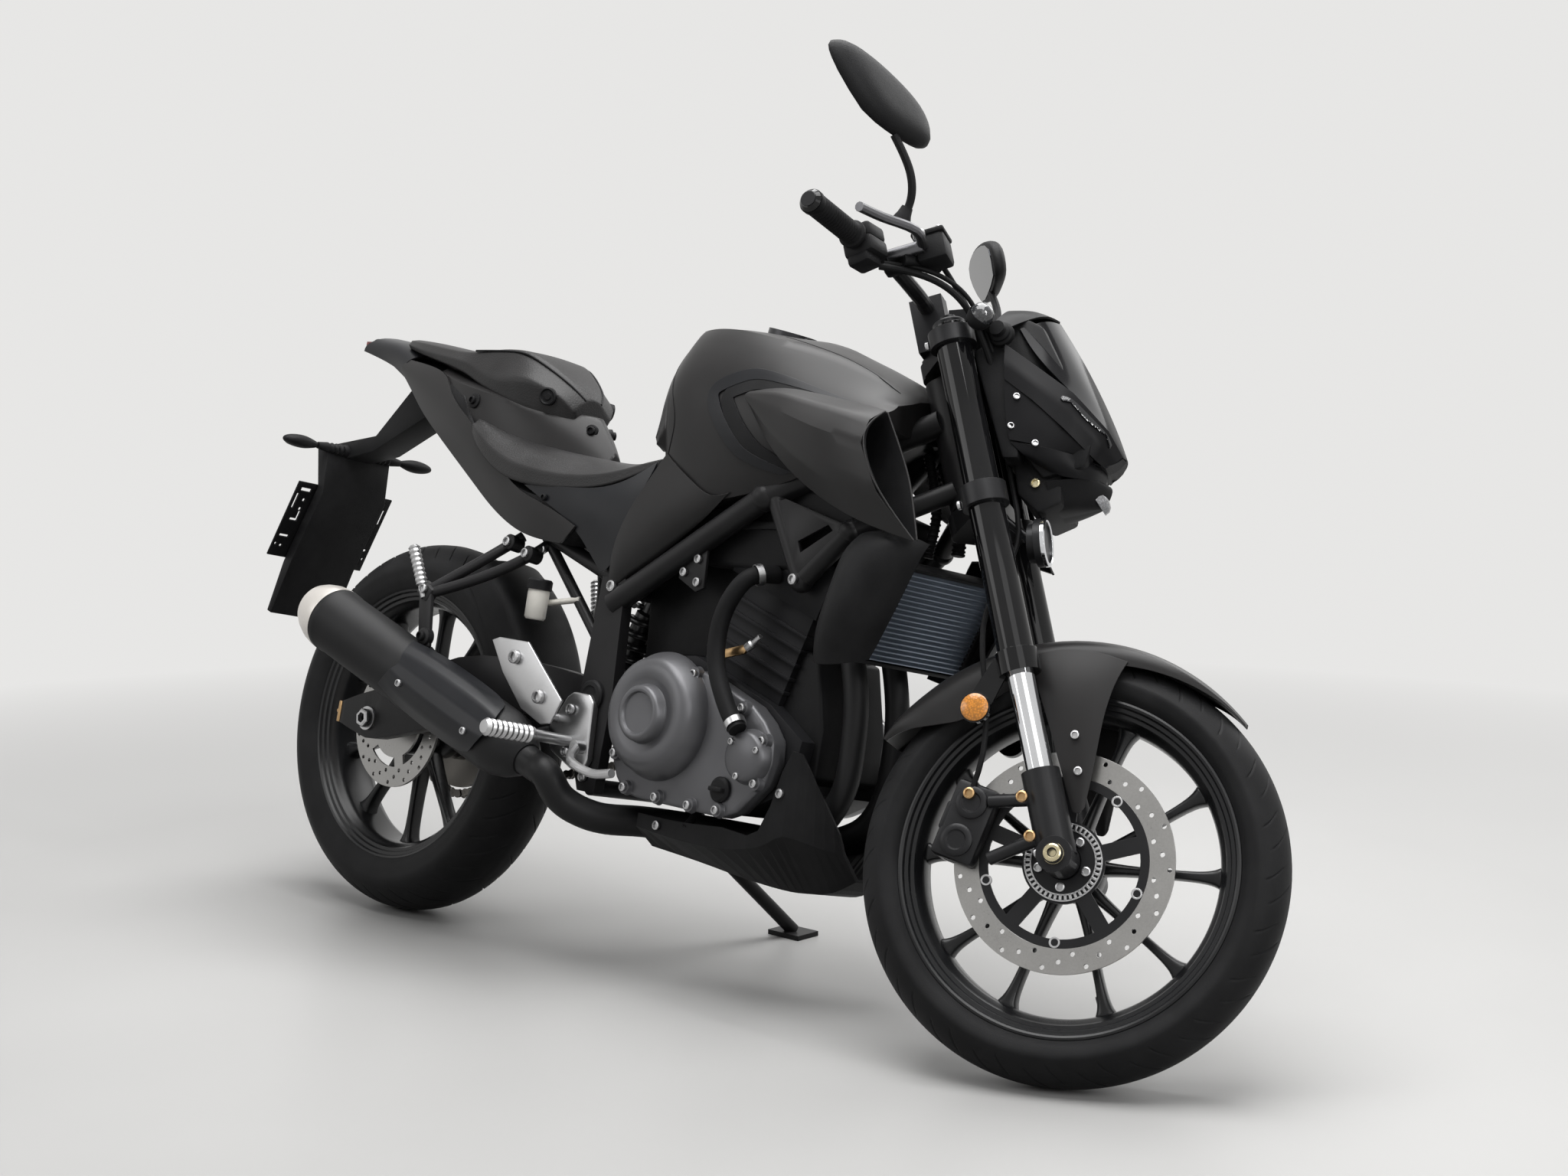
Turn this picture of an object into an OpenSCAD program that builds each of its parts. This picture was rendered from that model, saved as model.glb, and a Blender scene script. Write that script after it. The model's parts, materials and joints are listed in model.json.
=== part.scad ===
// Standard naked road motorcycle, parked on its side stand with the steering on its left stop.
// Every piece is drawn on an upright bike: X forward, Y left, Z up, rear axle over the origin,
// ground at Z = 0. Front-end pieces are drawn along the fork: X ahead of the legs, Z up the legs,
// front axle at the origin. Two placement modules then turn, lean and pitch them as parked.

/* [Stance] */
// Distance between the axles with the steering straight
wheelbase = 1380; // [1340:5:1420]
// Angle of the steering axis from upright
rake = 25; // [23:0.5:27]
// Distance from the steering axis forward to the fork legs
fork_offset = 38; // [32:1:44]
// Steering angle at either stop
steer_lock = 25; // [20:1:28]
// Lean to the left on the side stand
lean = 13; // [9:0.5:15]
// Shift that centres the parked bike's box over the origin, forward
shift_x = -617; // [-700:1:-400]
// Shift that centres the parked bike's box over the origin, sideways
shift_y = -208; // [-300:1:0]

/* [Wheels] */
// Height of the front tyre above its rim
front_wall = 62; // [56:1:68]
// Width of the front tyre
front_w = 112; // [104:1:118]
// Height of the rear tyre above its rim
rear_wall = 84; // [78:1:90]
// Width of the rear tyre
rear_w = 142; // [132:1:150]
// Outer radius of both rims' flanges
rim_r = 230; // [224:1:234]
// Pairs of spokes in each wheel
spoke_pairs = 5; // [4:1:6]
// Radius of both axles
axle_r = 8.5; // [7:0.5:10]
// Running clearance between a wheel's bearing and its axle
axle_gap = 0.05; // [0.02:0.01:0.1]
// How far inside the rim's flange the front brake disc ends
front_disc_inset = 81; // [78:1:90]
// How far inside the rim's flange the rear brake disc ends
rear_disc_inset = 120; // [114:1:130]

/* [Fork] */
// Distance of each fork leg from the middle
leg_y = 98; // [95:1:104]
// Radius of the inner fork tubes
inner_tube_r = 18.5; // [17:0.5:20]
// Radius of the outer fork tubes
outer_tube_r = 25; // [23:0.5:26]
// Height of the outer tubes' lower ends above the axle
outer_tube_low = 255; // [240:1:275]
// Height of the outer tubes' upper ends above the axle
outer_tube_top = 775; // [765:1:790]
// Height of the lower yoke's underside above the axle
lower_yoke_s = 500; // [490:1:512]
// Height of the top yoke's underside above the axle
top_yoke_s = 744; // [738:1:750]
// Radius of the steering stem
stem_r = 16; // [13:0.5:18]
// Half the width of the handlebar to the grips' ends
bar_half_w = 372; // [350:1:385]
// Radius of the handlebar tube
bar_r = 11; // [10:0.5:12.5]

/* [Frame] */
// Radius of the main frame's tubes
spar_r = 19; // [16:0.5:21]
// Distance of the main spars from the middle at the engine
spar_y = 112; // [106:1:118]
// Swingarm pivot ahead of the rear axle
pivot_x = 529; // [515:1:540]
// Height of the swingarm pivot
pivot_z = 414; // [400:1:425]

/* [Side stand] */
// Side stand pivot on the upright bike, forward
stand_x = 548; // [535:1:560]
// Side stand pivot on the upright bike, sideways
stand_y = 112; // [106:1:120]
// Side stand pivot on the upright bike, height
stand_z = 238; // [228:1:250]
// Foot ahead of the pivot as parked
stand_reach_x = 62; // [50:1:75]
// Foot outside the pivot as parked
stand_reach_y = 178; // [150:1:195]
// Radius of the stand's leg
stand_leg_r = 11; // [9:0.5:12]
// Radius of the stand's pivot pin
stand_pin_r = 6; // [5:0.5:8]

/* [Hidden] */
$fn = 64;

side_pair = [-1, 1];
crown_drop = 34;
rear_crown_drop = 42;
front_r = rim_r + front_wall;
rear_r = rim_r + rear_wall;
front_disc_r = rim_r - front_disc_inset;
rear_disc_r = rim_r - rear_disc_inset;
bead_r = rim_r - 14;

// A tyre's crown is one arc through its middle and both shoulders.
function crown_r(width, drop) = (pow(width / 2 - 1, 2) + pow(drop, 2)) / (2 * drop);
front_crown = crown_r(front_w, crown_drop);
rear_crown = crown_r(rear_w, rear_crown_drop);

function turn_x(v, a) = [v.x, v.y * cos(a) - v.z * sin(a), v.y * sin(a) + v.z * cos(a)];
function turn_y(v, a) = [v.x * cos(a) + v.z * sin(a), v.y, v.z * cos(a) - v.x * sin(a)];
function turn_z(v, a) = [v.x * cos(a) - v.y * sin(a), v.x * sin(a) + v.y * cos(a), v.z];
function unit(v) = v / norm(v);
function mix(a, b, t) = a + (b - a) * t;

// Pitch at which both tyres touch the ground, found by halving.
stem_at = [fork_offset, 0, 0];
function fork_point(v) = turn_y(v, -rake) + [wheelbase, 0, front_r];
front_hub = fork_point(turn_z(stem_at, steer_lock) - stem_at);
front_axis = turn_y(turn_z([0, 1, 0], steer_lock), -rake);
rear_hub = [0, 0, rear_r];
function tilted(v, p) = turn_x(turn_y(v, p), -lean);
function ring_low(hub, axis, p, r, crown) = tilted(hub, p).z - crown
    - (r - crown) * sqrt(1 - pow(tilted(axis, p).z, 2));
function rear_low(p) = ring_low(rear_hub, [0, 1, 0], p, rear_r, rear_crown);
function front_low(p) = ring_low(front_hub, front_axis, p, front_r, front_crown);
function solve(a, b, n) = let (m = (a + b) / 2)
    n == 0 ? m : front_low(m) > rear_low(m) ? solve(m, b, n - 1) : solve(a, m, n - 1);
pitch = solve(-4, 4, 40);
lift = -rear_low(pitch);
function parked_point(v) = tilted(v, pitch) + [shift_x, shift_y, lift];

module parked() {
    translate([shift_x, shift_y, lift]) rotate([-lean, 0, 0]) rotate([0, pitch, 0]) children();
}
module fork_space() {
    translate([wheelbase, 0, front_r]) rotate([0, -rake, 0]) children();
}
module steered() {
    parked() fork_space() translate(-stem_at) rotate([0, 0, steer_lock]) translate(stem_at)
        children();
}

// Turns a shape made round Z so that its axis lies along Y.
module axle_wise() { rotate([-90, 0, 0]) children(); }
module both_sides() {
    children();
    mirror([0, 1, 0]) children();
}
module rod(a, b, r) {
    d = b - a;
    translate(a) rotate([0, acos(d.z / norm(d)), atan2(d.y, d.x)]) cylinder(r = r, h = norm(d));
}
// An outline in X and Z, extruded from y0 to y1.
module side_plate(outline, y0, y1) {
    translate([0, y1, 0]) rotate([90, 0, 0]) linear_extrude(y1 - y0) polygon(outline);
}

// Curves through a table's rows, and corners cut off a closed ring.
function curve(a, b, c, d, t) = 0.5 * (2 * b + (c - a) * t + (2 * a - 5 * b + 4 * c - d) * t * t
    + (3 * b - a - 3 * c + d) * t * t * t);
function smooth_rows(rows, steps) = let (last = len(rows) - 1) concat(
    [for (i = [0 : last - 1]) for (k = [0 : steps - 1]) curve(rows[max(i - 1, 0)], rows[i],
        rows[i + 1], rows[min(i + 2, last)], k / steps)], [rows[last]]);
function cut_corners(ring, times) = times == 0 ? ring : cut_corners([for (i = [0 : len(ring) - 1])
    let (a = ring[i], b = ring[(i + 1) % len(ring)]) each [mix(a, b, 0.25), mix(a, b, 0.75)]],
    times - 1);
function both_halves(half) = concat(half, [for (i = [len(half) - 1 : -1 : 0])
    if (half[i].x > 0) [-half[i].x, half[i].y]]);
function at_x(x, ring) = [for (p = ring) [x, p.x, p.y]];

// A closed solid through rings of equal point counts.
function middle(ring) = [for (p = ring) 1] * ring / len(ring);
function ring_normal(ring) = let (n = len(ring)) [for (i = [1 : n - 2]) 1]
    * [for (i = [1 : n - 2]) cross(ring[i] - ring[0], ring[i + 1] - ring[0])];
// A shell's ring runs out along one face and back along the other, so its ends are strips.
module loft(rings, shell = false) {
    n = len(rings[0]);
    last = len(rings) - 1;
    ahead = ring_normal(rings[0]) * (middle(rings[1]) - middle(rings[0])) > 0;
    walls = [for (j = [0 : last - 1]) for (i = [0 : n - 1])
        [j * n + i, j * n + n + i, j * n + n + (i + 1) % n, j * n + (i + 1) % n]];
    strips = [for (i = [0 : n / 2 - 2]) [i, i + 1, n - 2 - i, n - 1 - i]];
    end = shell ? strips : [[for (i = [0 : n - 1]) i]];
    caps = [for (f = end) each [f, [for (i = [len(f) - 1 : -1 : 0]) last * n + f[i]]]];
    faces = concat(walls, caps);
    polyhedron([for (r = rings) each r],
        ahead ? faces : [for (f = faces) [for (i = [len(f) - 1 : -1 : 0]) f[i]]]);
}
// A round bar or pipe along a smoothed path.
function along(path, i) = unit(path[min(i + 1, len(path) - 1)] - path[max(i - 1, 0)]);
module bent_tube(path, r, steps = 4, sides = 12, side_ref = [0, 1, 0]) {
    line = smooth_rows(path, steps);
    loft([for (i = [0 : len(line) - 1]) let (t = along(line, i), u = unit(cross(side_ref, t)),
        w = cross(t, u)) [for (k = [0 : sides - 1])
            line[i] + r * (cos(360 * k / sides) * u + sin(360 * k / sides) * w)]]);
}

// Wheels
module tyre(r, width, crown, drop, rim_half) {
    shoulder = r - drop;
    half = [[rim_half, bead_r], [rim_half, rim_r + 0.4], [width / 2 - 4, shoulder - 14],
        [width / 2 + 1, shoulder + 2], [width / 2 + 1, r + 5]];
    axle_wise() rotate_extrude($fn = 96) intersection() {
        polygon([for (p = concat(half, [for (i = [len(half) - 1 : -1 : 0])
            [-half[i].x, half[i].y]])) [p.y, p.x]]);
        translate([r - crown, 0]) circle(r = crown);
    }
}
module rim(rim_half, hub_half, hub_r, spoke_depth) {
    well = rim_half - 12;
    flange = 6;
    ring = [[rim_r - 30, -well + 6], [rim_r - 34, 0], [rim_r - 30, well - 6],
        [rim_r - 22, rim_half + flange], [rim_r, rim_half + flange], [rim_r, rim_half + 0.3],
        [bead_r - 0.3, rim_half + 0.3], [bead_r - 0.3, -rim_half - 0.3],
        [rim_r, -rim_half - 0.3], [rim_r, -rim_half - flange], [rim_r - 22, -rim_half - flange]];
    spoke_in = hub_r - 6;
    spoke_out = rim_r - 27;
    axle_wise() difference() {
        union() {
            rotate_extrude($fn = 96) polygon(ring);
            cylinder(r = hub_r, h = 2 * hub_half, center = true);
            for (k = [0 : spoke_pairs - 1]) for (s = side_pair) {
                a = spoke_in * [cos(s * 10), sin(s * 10)];
                b = spoke_out * [cos(s * 16.5), sin(s * 16.5)];
                n = [-(b - a).y, (b - a).x] / norm(b - a);
                rotate(360 * k / spoke_pairs) linear_extrude(spoke_depth, center = true)
                    polygon([a + 11 * n, b + 6.5 * n, b - 6.5 * n, a - 11 * n]);
            }
        }
        cylinder(r = axle_r + axle_gap, h = 3 * hub_half, center = true);
    }
}
// A flat ring with arms to an inner ring, between y0 and y1.
module disc_ring(outer, inner, y0, y1) {
    translate([0, y0, 0]) axle_wise() difference() {
        cylinder(r = outer, h = y1 - y0, $fn = 96);
        translate([0, 0, -1]) cylinder(r = inner, h = y1 - y0 + 2, $fn = 96);
    }
}
module disc_arms(count, outer, inner, width, y0, y1) {
    translate([0, y0, 0]) axle_wise() for (k = [0 : count - 1]) rotate(360 * k / count)
        translate([inner, -width / 2, 0]) cube([outer - inner, width, y1 - y0]);
}

front_hub_half = 58;
rear_hub_half = 62;
front_rim_half = 38;
rear_rim_half = 51;
disc_t = 4.5;
front_disc_y = -front_hub_half - disc_t;
rear_disc_y = -rear_hub_half - disc_t;
disc_band = 34;
carrier_gap = 0.3;
module front_tyre() color("#1b1b1d") steered()
    tyre(front_r, front_w, front_crown, crown_drop, front_rim_half);
module front_rim() color("#202124") steered()
    rim(front_rim_half, front_hub_half, 40, 30);
module front_disc() color("#a9abad") steered()
    disc_ring(front_disc_r, front_disc_r - disc_band, front_disc_y, front_disc_y + disc_t);
module front_disc_carrier() color("#26272a") steered() {
    band = front_disc_r - disc_band - carrier_gap;
    disc_ring(band, band - 12, front_disc_y, front_disc_y + disc_t);
    disc_arms(5, band - 4, 50, 22, front_disc_y, front_disc_y + disc_t);
    disc_ring(56, 24, front_disc_y, front_disc_y + disc_t);
}
module rear_tyre() color("#1b1b1d") parked() translate(rear_hub)
    tyre(rear_r, rear_w, rear_crown, rear_crown_drop, rear_rim_half);
module rear_rim() color("#202124") parked() translate(rear_hub)
    rim(rear_rim_half, rear_hub_half, 52, 34);
module rear_disc() color("#a4a6a8") parked() translate(rear_hub) {
    disc_ring(rear_disc_r, rear_disc_r - disc_band, rear_disc_y, rear_disc_y + disc_t);
    disc_arms(5, rear_disc_r - disc_band + 6, 50, 22, rear_disc_y, rear_disc_y + disc_t);
    disc_ring(60, 24, rear_disc_y, rear_disc_y + disc_t);
}
case_half = spar_y - 14;
sprocket_r = 98;
sprocket_y = case_half - 15;
sprocket_t = 7;
chain_gap = 5;
drive_at = [604, sprocket_y + sprocket_t / 2, 404];
drive_r = 30;
module rear_sprocket() color("#3a3b3d") parked() translate(rear_hub) {
    disc_ring(sprocket_r, 24, sprocket_y, sprocket_y + sprocket_t);
    disc_ring(50, 24, rear_hub_half, sprocket_y);
}

// Front end, drawn along the fork
clamp_gap = 0.05;
lower_yoke_t = 30;
top_yoke_t = 24;
clamp_wall = 8;
lug_r = 24;
lug_y0 = leg_y - outer_tube_r - 2.5;
lug_y1 = leg_y + outer_tube_r + 2.5;
spacer_r = 14;
horn_r = 34;
horn_y = 40;
horn_s = 452;
module yoke_plate(s, t, stem_wall) {
    translate([0, 0, s]) difference() {
        union() {
            for (side = side_pair) translate([0, side * leg_y, 0])
                cylinder(r = outer_tube_r + clamp_wall, h = t);
            translate([-fork_offset, 0, 0]) cylinder(r = stem_r + stem_wall, h = t);
            linear_extrude(t) polygon([[18, -leg_y], [18, leg_y], [-12, leg_y],
                [-fork_offset - 24, 26], [-fork_offset - 24, -26], [-12, -leg_y]]);
        }
        for (side = side_pair) translate([0, side * leg_y, -1])
            cylinder(r = outer_tube_r + clamp_gap, h = t + 2);
    }
}
module yokes() color("#222326") steered() {
    yoke_plate(lower_yoke_s, lower_yoke_t, 20);
    yoke_plate(top_yoke_s, top_yoke_t, 16);
    translate([-fork_offset, 0, lower_yoke_s + 2])
        cylinder(r = stem_r, h = top_yoke_s - lower_yoke_s + top_yoke_t + 8);
    rod([4, -horn_y, lower_yoke_s + 6], [46, -horn_y, horn_s], 6);
    rod([40, -horn_y, horn_s], [50, -horn_y, horn_s - 2], horn_r - 6);
    rod([50, -horn_y, horn_s - 2], [62, -horn_y, horn_s - 4], horn_r);
}
reflector_u = -67;
reflector_y = leg_y + 5;
reflector_s = outer_tube_low - 34;
reflector_r = 21;
module fork_outer_tubes() color("#141416") steered() for (side = side_pair)
    translate([0, side * leg_y, 0]) difference() {
        union() {
            translate([0, 0, outer_tube_low])
                cylinder(r = outer_tube_r, h = outer_tube_top - outer_tube_low);
            translate([0, 0, outer_tube_low]) cylinder(r = outer_tube_r + 4, h = 32);
            translate([0, side * (reflector_y - leg_y), 0]) {
                side_plate([[-14, outer_tube_low + 26], [-30, outer_tube_low + 28],
                    [-78, reflector_s + 14], [-78, reflector_s - 14], [-58, reflector_s - 14],
                    [-14, outer_tube_low + 6]], -2, 2);
                rod([reflector_u, -2, reflector_s], [reflector_u, side * 11, reflector_s], reflector_r);
            }
        }
        translate([0, 0, outer_tube_low - 1]) cylinder(r = inner_tube_r + clamp_gap, h = 121);
    }
lower_top = 118;
module fork_inner_tubes() color("#cfd2d6") steered() for (side = side_pair)
    translate([0, side * leg_y, lower_top - 30]) cylinder(r = inner_tube_r, h = 280);
module fork_lowers() color("#232427") steered() for (side = side_pair) difference() {
    union() {
        translate([0, side * leg_y, 0]) cylinder(r = outer_tube_r + 1, h = lower_top);
        axle_wise() translate([0, 0, side > 0 ? lug_y0 : -lug_y1])
            cylinder(r = lug_r, h = lug_y1 - lug_y0);
    }
    translate([0, side * leg_y, lower_top - 30 - 0.1])
        cylinder(r = inner_tube_r + clamp_gap, h = 40);
    axle_wise() cylinder(r = axle_r + clamp_gap, h = 3 * leg_y, center = true);
}
axle_bore_r = 5;
module front_axle() color("#b9bbbe") steered() axle_wise() difference() {
    union() {
        cylinder(r = axle_r, h = 2 * lug_y1 + 8, center = true);
        for (s = side_pair) translate([0, 0, s > 0 ? front_hub_half + 0.5 : -lug_y0 + 0.2])
            cylinder(r = spacer_r, h = lug_y0 - front_hub_half - 0.7);
        for (s = side_pair) translate([0, 0, s > 0 ? lug_y1 + 0.2 : -lug_y1 - 8])
            cylinder(r = axle_r + 5, h = 7.8);
    }
    cylinder(r = axle_bore_r, h = 3 * leg_y, center = true);
}
caliper_dir = 146;
caliper_gap = 5;
module caliper(disc_r, disc_y, half_t, length) {
    difference() {
        translate([disc_r - 42, disc_y + disc_t / 2 - half_t, -length / 2])
            cube([64, 2 * half_t, length]);
        translate([disc_r - 60, disc_y - caliper_gap, -length])
            cube([60 + caliper_gap, disc_t + 2 * caliper_gap, 2 * length]);
    }
}
module front_caliper() color("#1c1d1f") steered() {
    rotate([0, -caliper_dir, 0]) caliper(front_disc_r, front_disc_y, 31, 110);
    rod([-22, -leg_y, 84], [-76, -leg_y + 6, 96], 9);
    rod([-22, -leg_y, 30], [-92, -leg_y + 6, 20], 9);
}
// Fender sections: angle round the axle, crown above the tyre, half width, edge above the tyre,
// crown lift
fender_rows = [[27, 11, 14, 8, 2], [40, 14, 42, 4, 3], [58, 17, 58, -8, 5],
    [76, 19, 64, -24, 6], [98, 21, 65.5, -46, 6], [114, 24, 65.5, -54, 5],
    [121, 25, 65, -28, 5], [128, 27, 56, 2, 4], [133, 28, 42, 17, 3]];
fender_t = 2.5;
stay_top = front_r - 34;
function fender_ring(row) = let (a = row[0], r = front_r + row[1], w = row[2],
    e = front_r + row[3], c = row[4], out = [[-w, e], [-w * 0.96, mix(e, r, 0.55)], [-w * 0.6, r - c], [0, r],
        [w * 0.6, r - c], [w * 0.96, mix(e, r, 0.55)], [w, e]],
    shell = concat(out, [for (i = [len(out) - 1 : -1 : 0])
        [out[i].x * (1 - fender_t / w), out[i].y - (abs(out[i].x) < w * 0.9 ? fender_t : 0)]]))
    [for (p = shell) [p.y * cos(a), p.x, p.y * sin(a)]];
module front_fender() color("#1d1e21") steered() {
    loft([for (row = smooth_rows(fender_rows, 4)) fender_ring(row)], true);
    both_sides() {
        side_plate([[20, stay_top], [76, stay_top - 12], [70, stay_top - 62], [30, stay_top - 62]], 62,
            leg_y - outer_tube_r + 1);
        side_plate([[30, stay_top - 58], [70, stay_top - 58], [62, 120], [42, 56], [28, 58]], 68,
            leg_y - outer_tube_r + 1);
        rod([16, leg_y - outer_tube_r + 2, 108], [46, leg_y - outer_tube_r + 2, 108], 6);
    }
}
// Handlebar route: ahead of the legs, sideways, height
grip_length = 117;
grip_inner_y = bar_half_w - grip_length;
bar_route = [[-34, 0, 833], [-34, 55, 833], [-36, 105, 838], [-52, 165, 862],
    [-72, grip_inner_y - 30, 876], [-90, grip_inner_y + 45, 881], [-105, bar_half_w + 8, 885]];
function bar_at(y) = let (i = [for (k = [0 : len(bar_route) - 2]) if (bar_route[k].y <= y) k],
    a = bar_route[i[len(i) - 1]], b = bar_route[i[len(i) - 1] + 1])
    mix(a, b, (y - a.y) / (b.y - a.y));
bar_path = concat([for (i = [len(bar_route) - 1 : -1 : 1])
    [bar_route[i].x, -bar_route[i].y, bar_route[i].z]], bar_route);
riser_y = 42;
module handlebar() color("#1b1c1e") steered() {
    bent_tube(bar_path, bar_r, 4, 14, [0, 0, 1]);
    for (s = side_pair) translate([-58, s * riser_y - 16, top_yoke_s + top_yoke_t + 0.1])
        cube([48, 32, 82]);
}
module grips() color("#161617") steered() both_sides() difference() {
    rod(bar_at(grip_inner_y), bar_at(bar_half_w), 16.5);
    rod(bar_at(grip_inner_y - 20), bar_at(bar_half_w + 8), bar_r + 0.2);
}
module switchgear() color("#1a1a1c") steered() both_sides() {
    difference() {
        rod(bar_at(grip_inner_y - 49), bar_at(grip_inner_y - 5), 22);
        rod(bar_at(grip_inner_y - 65), bar_at(grip_inner_y + 10), bar_r + 0.3);
    }
}
module brake_reservoir() color("#19191b") steered() {
    difference() {
        translate([-12, -192, 842]) cube([46, 54, 44]);
        rod([-60, -130, 850], [-60, -210, 870], 24);
    }
    translate([-26, -190, 846]) cube([30, 46, 22]);
}
module levers() color("#b9bbbd") steered() both_sides() {
    bent_tube([[2, 194, 862], [4, 240, 866], [-26, 300, 868], [-44, 352, 866]], 7, 4, 10,
        [0, 0, 1]);
    rod([3, 194, 862], [-50, 186, 866], 9);
}
// From the reservoir down ahead of the stem, between the legs and behind the right leg
module front_brake_hose() color("#161617") steered()
    bent_tube([[12, -141, 856], [16, -116, 846], [26, -92, 812], [34, -74, 772], [34, -54, 710],
        [34, -48, 640], [34, -48, 560], [30, -52, 470], [6, -60, 420], [-34, -72, 360],
        [-48, -84, 300], [-54, -91, 230], [-72, -96, 160], [-100, -90, 112]], 4, 3, 8, [1, 0, 0.2]);
// Mirror shell outline, seen from behind: sideways, height
mirror_outline = [[222, 986], [216, 1034], [268, 1070], [346, 1097], [398, 1096], [404, 1076],
    [352, 1003], [290, 988]];
mirror_t = 26;
mirror_tilt = 8;
module mirrors() color("#18181a") steered() both_sides() {
    loft([for (row = [[-mirror_t / 2, 1], [0, 0.98], [mirror_t / 2, 0.72]])
        [for (p = cut_corners(mirror_outline, 1)) let (m = middle(mirror_outline),
            q = mix(m, p, row[1])) [6 + row[0] - (q.x - m.x) * tan(mirror_tilt), q.x, q.y]]]);
    bent_tube([[-14, 236, 886], [8, 244, 904], [18, 264, 936], [10, 292, 996]], 6, 4, 10,
        [1, 0, 0]);
    rod([-58, 230, 874], [-10, 235, 890], 10);
}
// Headlamp mask sections: height, front, half width, front of the flanks, back
mask_rows = [[488, 128, 34, 96, 64], [521, 160, 70, 100, 50], [556, 186, 92, 96, 44],
    [620, 188, 100, 90, 44], [700, 178, 104, 84, 46], [763, 156, 98, 78, 52], [806, 108, 66, 84, 70]];
function mask_ring(row) = let (s = row[0], f = row[1], w = row[2], e = row[3], b = row[4],
    half = [[0, f], [w * 0.42, f - 8], [w * 0.8, mix(e, f, 0.55)], [w, e], [w * 0.94, b], [0, b]])
    [for (p = cut_corners(both_halves(half), 1)) [p.y, p.x, s]];
module headlamp_mask() color("#1a1b1e") steered() {
    loft([for (row = smooth_rows(mask_rows, 3)) mask_ring(row)]);
    both_sides() rod([60, 60, 640], [20, leg_y - 12, 640], 8);
}
lens_r = 34;
module headlamp_lens() color("#c8ccd2") steered() translate([150, 0, 524]) rotate([0, 72, 0])
    cylinder(r = lens_r, h = 26);
module instrument() color("#101113") steered() {
    translate([-6, -64, 800]) rotate([0, 12, 0]) cube([62, 128, 18]);
    translate([10, -12, top_yoke_s + top_yoke_t + 0.1]) cube([24, 24, 32]);
}
module front_signals() color("#c9c7bd") steered() both_sides() {
    translate([54, 134, 762]) scale(1) sphere(r = 20);
    rod([62, 92, 752], [56, 126, 760], 7);
}

// Chassis
head_low = lower_yoke_s + lower_yoke_t + 8;
head_top = top_yoke_s - 8;
head_tube_r = stem_r + 14;
function on_stem(s) = fork_point([-fork_offset, 0, s]);
spar_rear = [534, spar_y, 560];
spar_mid = [820, spar_y, 744];
spar_head = on_stem(mix(head_low, head_top, 0.66)) + [-6, 22, 0];
brace_r = spar_r - 4;
lug_swell = 2.5;
brace_low = [912, spar_y - 8, 628];
brace_up = [990, spar_y - 8, 706];
brace_head = on_stem(mix(head_low, head_top, 0.12)) + [-6, 22, 0];
stand_at = [stand_x, stand_y, stand_z];
stand_pivot = parked_point(stand_at);
stand_foot = [stand_pivot.x + stand_reach_x, stand_pivot.y + stand_reach_y, 0];
foot_t = 8;
// The leg swings in one plane, from where it parks to its folded direction.
folded_leg = [-0.98, 0.15, 0.1];
stand_axis = unit(cross(stand_foot + [0, 0, foot_t] - stand_pivot, tilted(folded_leg, pitch)));
stand_swing = turn_y(turn_x(stand_axis, lean), -pitch);
stand_boss_half = stand_leg_r + 0.5;
stand_boss_r = stand_leg_r + 4;
// The pin through the side stand's boss, the cheek that holds it and the stay up to the frame.
module stand_pin() {
    rod(stand_at - (stand_boss_half + 4) * stand_swing,
        stand_at + (stand_boss_half + 14) * stand_swing, stand_pin_r);
    rod(stand_at - (stand_boss_half + 4) * stand_swing,
        stand_at - (stand_boss_half + 0.3) * stand_swing, stand_pin_r + 4);
    rod(stand_at + (stand_boss_half + 0.3) * stand_swing,
        stand_at + (stand_boss_half + 14) * stand_swing, stand_boss_r - 1);
    rod(stand_at + (stand_boss_half + 12) * stand_swing, [stand_x, spar_y, 282], 7);
}
module main_frame() color("#1c1d20") parked() difference() {
    union() {
        stand_pin();
        fork_space() translate([-fork_offset, 0, head_low])
            cylinder(r = head_tube_r, h = head_top - head_low);
        both_sides() {
            rod(spar_rear, spar_mid, spar_r);
            rod(spar_mid, spar_head, spar_r);
            translate(spar_mid) sphere(r = spar_r + lug_swell);
            rod(mix(spar_mid, spar_head, 0.06), brace_low, brace_r);
            rod(brace_low, brace_up, brace_r);
            rod(brace_up, brace_head, brace_r);
            translate(brace_up) sphere(r = brace_r + lug_swell);
            translate(brace_low) sphere(r = brace_r + lug_swell);
            side_plate([[508, 600], [560, 600], [572, 420], [566, 268], [528, 268], [500, 330],
                [500, 420]], spar_y - 12, spar_y + 8);
        }
        rod([536, -spar_y, 586], [536, spar_y, 586], 15);
        rod([548, -spar_y, 276], [548, spar_y, 276], 13);
    }
    fork_space() translate([-fork_offset, 0, head_low - 1])
        cylinder(r = stem_r + axle_gap, h = head_top - head_low + 2);
}
module subframe() color("#1c1d20") parked() both_sides() {
    rod([528, 88, 592], [300, 78, 664], 12);
    rod([520, 88, 470], [320, 80, 652], 9);
}
cylinder_at = [800, 0, 472];
cylinder_tilt = 18;
cylinder_depth = 86;
function beside_cylinder(d) = [cylinder_at.x + d * cos(cylinder_tilt),
    cylinder_at.z - d * sin(cylinder_tilt)];
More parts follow.
